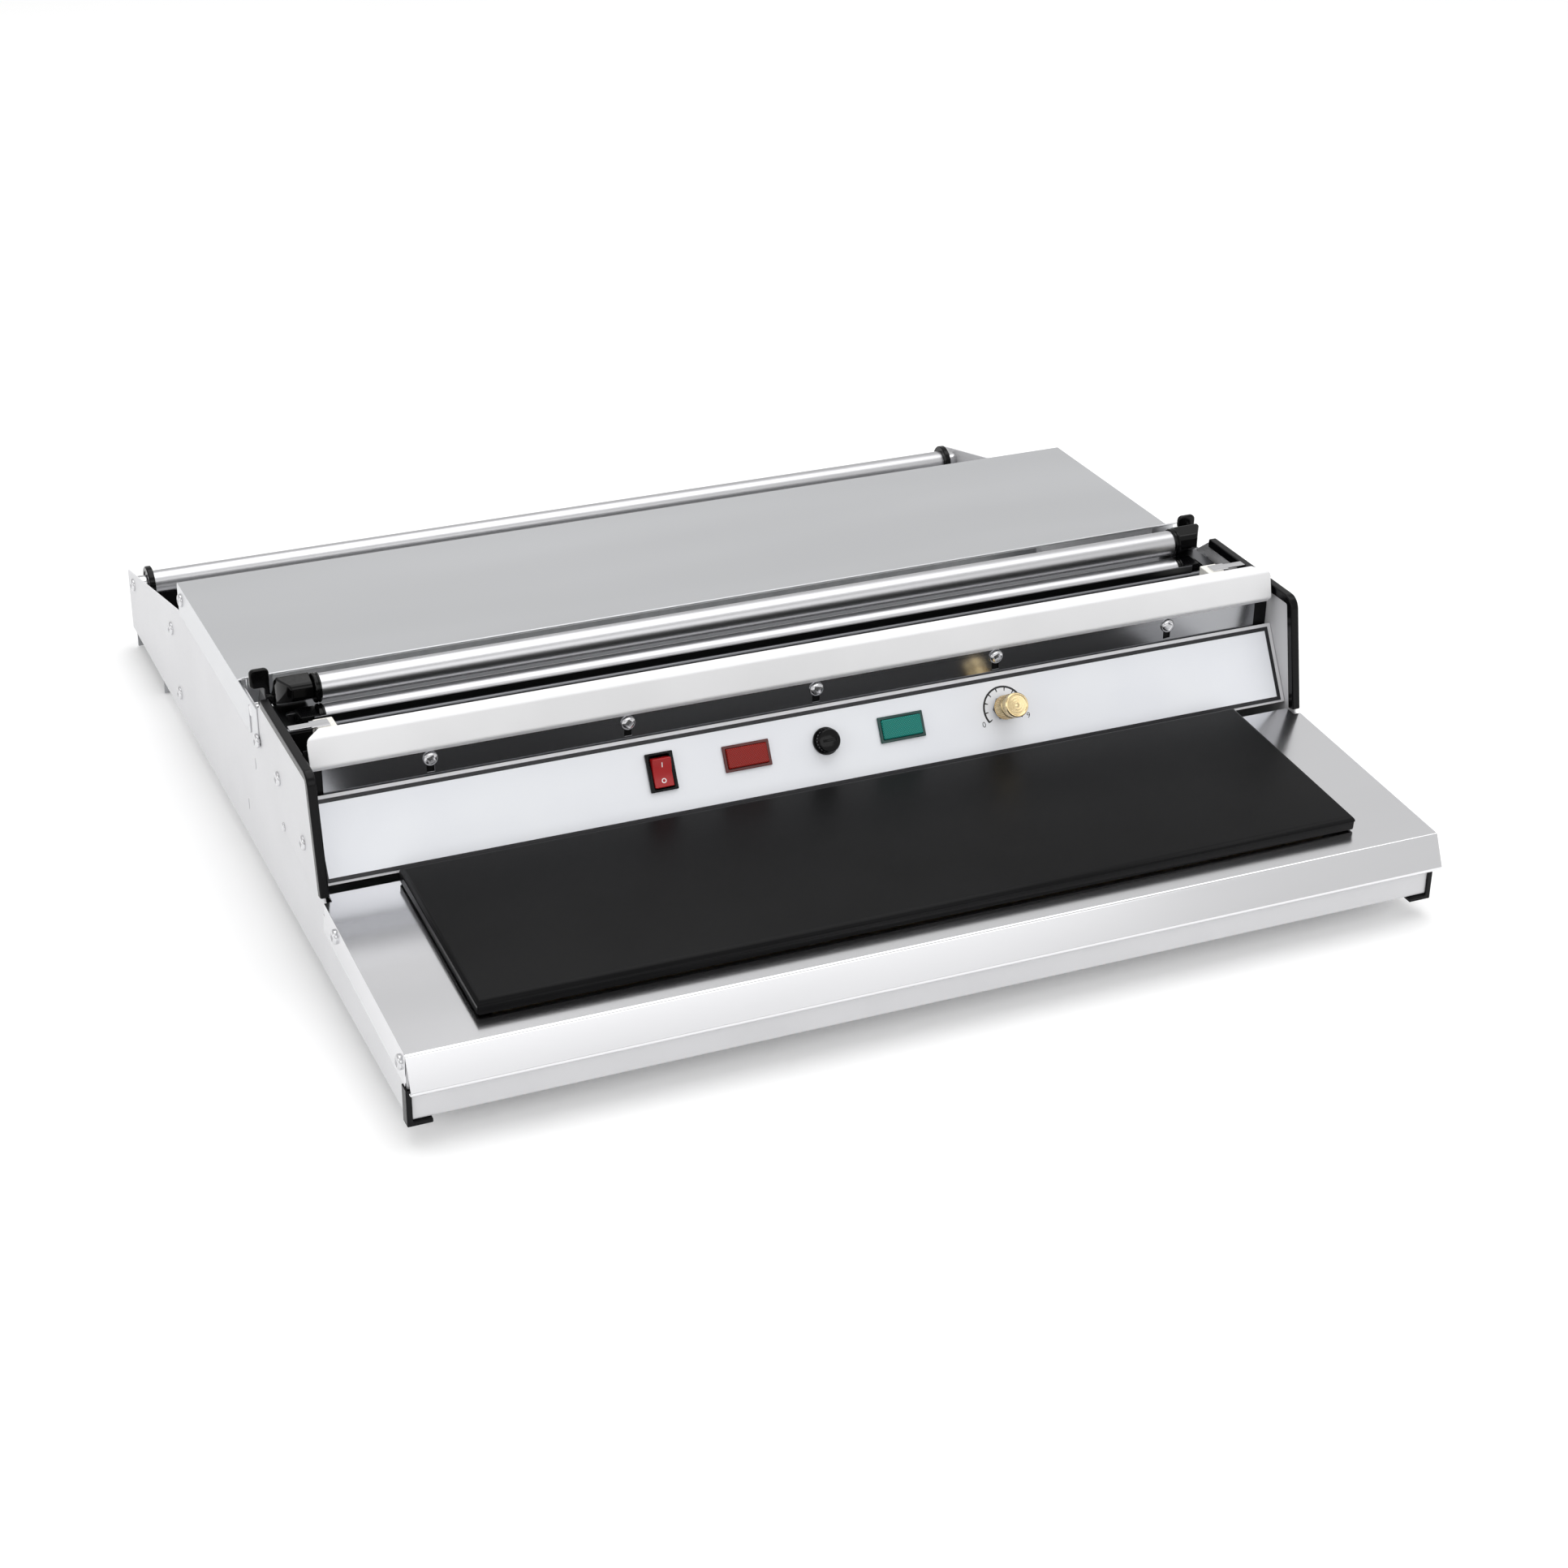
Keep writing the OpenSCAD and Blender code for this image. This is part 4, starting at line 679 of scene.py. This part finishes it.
# White on and off marks on the two halves of the rocker
rockerSizes = {"x": -99.2, "v": 27.2, "axis": 0.1, "rest": 10.0, "half": 8.2, "ear": 4.6, "dip": 3.2,
               "markAt": 0.55, "markSink": 0.01, "barW": 0.55, "barLen": 2.8, "barRound": 0.12,
               "ringR": 1.4, "ringLine": 0.5}


def roundBar():
    bpy.ops.mesh.select_all(action="SELECT")
    bpy.ops.mesh.bevel(offset=rockerSizes["barRound"] * mm, segments=3, affect="VERTICES")
    thicken()


def cutRing():
    openMiddle(rockerSizes["ringLine"])
    thicken()


onMark = edit(flatSheet(rockerSizes["barW"], rockerSizes["barLen"]), roundBar)
offMark = edit(flatDisc(rockerSizes["ringR"], 40), cutRing)
climb = rockerSizes["ear"] - rockerSizes["dip"]
rise = atan2(climb, rockerSizes["half"])
markMid = rockerSizes["half"] * rockerSizes["markAt"]
markHigh = rockerSizes["dip"] + climb * rockerSizes["markAt"] - rockerSizes["markSink"]
rockerPlace = (onPanel(rockerSizes["x"], rockerSizes["v"], rockerSizes["axis"])
               @ Matrix.Rotation(radians(rockerSizes["rest"]), 4, "X"))
for sign, markPiece in ((1, onMark), (-1, offMark)):
    middle = Matrix.Translation(Vector((0, sign * markMid, markHigh)) * mm)
    moved(markPiece, rockerPlace @ middle @ Matrix.Rotation(sign * rise, 4, "X"))
finishPiece(joined("rockerMarks", [onMark, offMark]), whiteInk, "rocker")
print("printing ready")

# Heating plate: the folded lid with an open slit at each corner of its skirt, on the sloping tray
heatSizes = {"halfW": 257.5, "front": 18.4, "len": 133.0, "top": 9.4, "skirt": 8.0, "round": 3.0, "slit": 1.8,
             "slitDrop": 0.2, "trayY": -1.6, "trayZ": 39.9, "traySlope": 3.2}
lid = copied(nodes["heating_plate"], "heatingPlatePiece")
lid.parent = None
edit(lid, mergeAll)
trayPlace = (Matrix.Translation(at(0, heatSizes["trayY"], heatSizes["trayZ"]))
             @ Matrix.Rotation(radians(heatSizes["traySlope"]), 4, "X"))
slitHigh = heatSizes["skirt"] - heatSizes["round"]
slitMid = heatSizes["top"] - heatSizes["round"] - slitHigh / 2 - heatSizes["slitDrop"]
for x in (heatSizes["halfW"], -heatSizes["halfW"]):
    for y in (heatSizes["front"], heatSizes["front"] + heatSizes["len"]):
        slit = block(heatSizes["slit"], heatSizes["slit"], slitHigh)
        moved(slit, trayPlace @ Matrix.Translation(Vector((x, y, slitMid)) * mm))
        cutAway(lid, slit)
smooth(lid)
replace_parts(finishPiece(lid, heatCoat, "heating_plate"), "heating_plate")
print("heating plate ready")

# Camera, from the fit to the photograph's straight edges: place in mm, angles in degrees, the rest in pixels
cameraFit = {"place": (-625.82, -1201.02, 848.63), "azimuth": 23.564, "elevation": 28.074, "roll": 0.741,
             "focal": 3681.2, "centreX": -6.28, "centreY": 2.25, "pixels": 1932, "sensor": 36, "clipEnd": 50}
azimuth, elevation, roll = (radians(cameraFit[key]) for key in ("azimuth", "elevation", "roll"))
ahead = Vector((sin(azimuth) * cos(elevation), cos(azimuth) * cos(elevation), -sin(elevation)))
right = Vector((cos(azimuth), -sin(azimuth), 0))
up = right.cross(ahead)
turn = Matrix((right * cos(roll) + up * sin(roll), up * cos(roll) - right * sin(roll), -ahead)).transposed()
cameraData = bpy.data.cameras.new("photoCamera")
camera = bpy.data.objects.new("photoCamera", cameraData)
bpy.context.scene.collection.objects.link(camera)
camera.matrix_world = Matrix.Translation(at(*cameraFit["place"])) @ turn.to_4x4()
cameraData.sensor_fit = "HORIZONTAL"
cameraData.sensor_width = cameraFit["sensor"]
cameraData.lens = cameraFit["sensor"] * cameraFit["focal"] / cameraFit["pixels"]
cameraData.shift_x = -cameraFit["centreX"] / cameraFit["pixels"]
cameraData.shift_y = cameraFit["centreY"] / cameraFit["pixels"]
cameraData.clip_end = cameraFit["clipEnd"]
bpy.context.scene.camera = camera

# Floor and light. Each lamp has its place, what it looks at, its two sizes, all in metres, and its watts.
studio = {"floorSize": 14, "floorDrop": 0.5, "floorTones": ("#f3f3f3", "#f6f6f6"), "floorGlow": 0.15,
          "sky": 0.72,
          "lamps": {"topSoftbox": ((0.3, 0.2, 2.2), (0, 0, 0), (2.4, 2.0), 26),
                    "frontSoftbox": ((0.2, -2.4, 1.3), (0, 0, 0.05), (2.2, 1.2), 9),
                    "leftSoftbox": ((-2.4, -0.4, 1.1), (0, 0, 0.05), (1.6, 1.2), 7),
                    "rightSoftbox": ((2.4, -0.2, 1.2), (0, 0, 0.05), (1.6, 1.2), 4)}}
clearSelection()
bpy.ops.mesh.primitive_plane_add(size=studio["floorSize"], location=(0, 0, -studio["floorDrop"] * mm))
floor = bpy.context.object
floor.name = "studioFloor"
floorPaint, floorTree, floorShader = newMaterial("studioFloorPaint", "#f4f4f4", 0.9)
dressSurface(floorTree, floorShader, studio["floorTones"], stretchedNoise(floorTree, (300, 300, 300), 1.0))
# the floor shows white to the camera and in reflections, without lighting the object any more for it
rays = addNode(floorTree, "ShaderNodeLightPath")
seen = addNode(floorTree, "ShaderNodeMath", {"operation": "ADD"},
               {0: rays.outputs["Is Camera Ray"], 1: rays.outputs["Is Glossy Ray"]})
seenAll = addNode(floorTree, "ShaderNodeMath", {"operation": "ADD", "use_clamp": True},
                  {0: seen.outputs[0], 1: rays.outputs["Is Transmission Ray"]})
glow = addNode(floorTree, "ShaderNodeMath", {"operation": "MULTIPLY"},
               {0: seenAll.outputs[0], 1: studio["floorGlow"]})
floorShader.inputs["Emission Color"].default_value = (1, 1, 1, 1)
floorTree.links.new(glow.outputs[0], floorShader.inputs["Emission Strength"])
floor.data.materials.append(floorPaint)

world = bpy.data.worlds.new("studioWorld")
bpy.context.scene.world = world
world.use_nodes = True
background = world.node_tree.nodes["Background"]
background.inputs["Color"].default_value = (1, 1, 1, 1)
# white behind the object, at strength 1, while the object is lit by the weaker sky
skyRays = addNode(world.node_tree, "ShaderNodeLightPath")
skyStrength = addNode(world.node_tree, "ShaderNodeMath", {"operation": "MULTIPLY_ADD"},
                      {0: skyRays.outputs["Is Camera Ray"], 1: 1 - studio["sky"], 2: studio["sky"]})
world.node_tree.links.new(skyStrength.outputs[0], background.inputs["Strength"])

for name, (place, target, size, power) in studio["lamps"].items():
    lampData = bpy.data.lights.new(name, "AREA")
    lampData.shape = "RECTANGLE"
    lampData.size, lampData.size_y = size
    lampData.energy = power
    lamp = bpy.data.objects.new(name, lampData)
    bpy.context.scene.collection.objects.link(lamp)
    lamp.location = place
    lamp.rotation_euler = (Vector(target) - Vector(place)).to_track_quat("-Z", "Y").to_euler()
bpy.context.scene.view_settings.view_transform = "Standard"
print("camera and light ready")
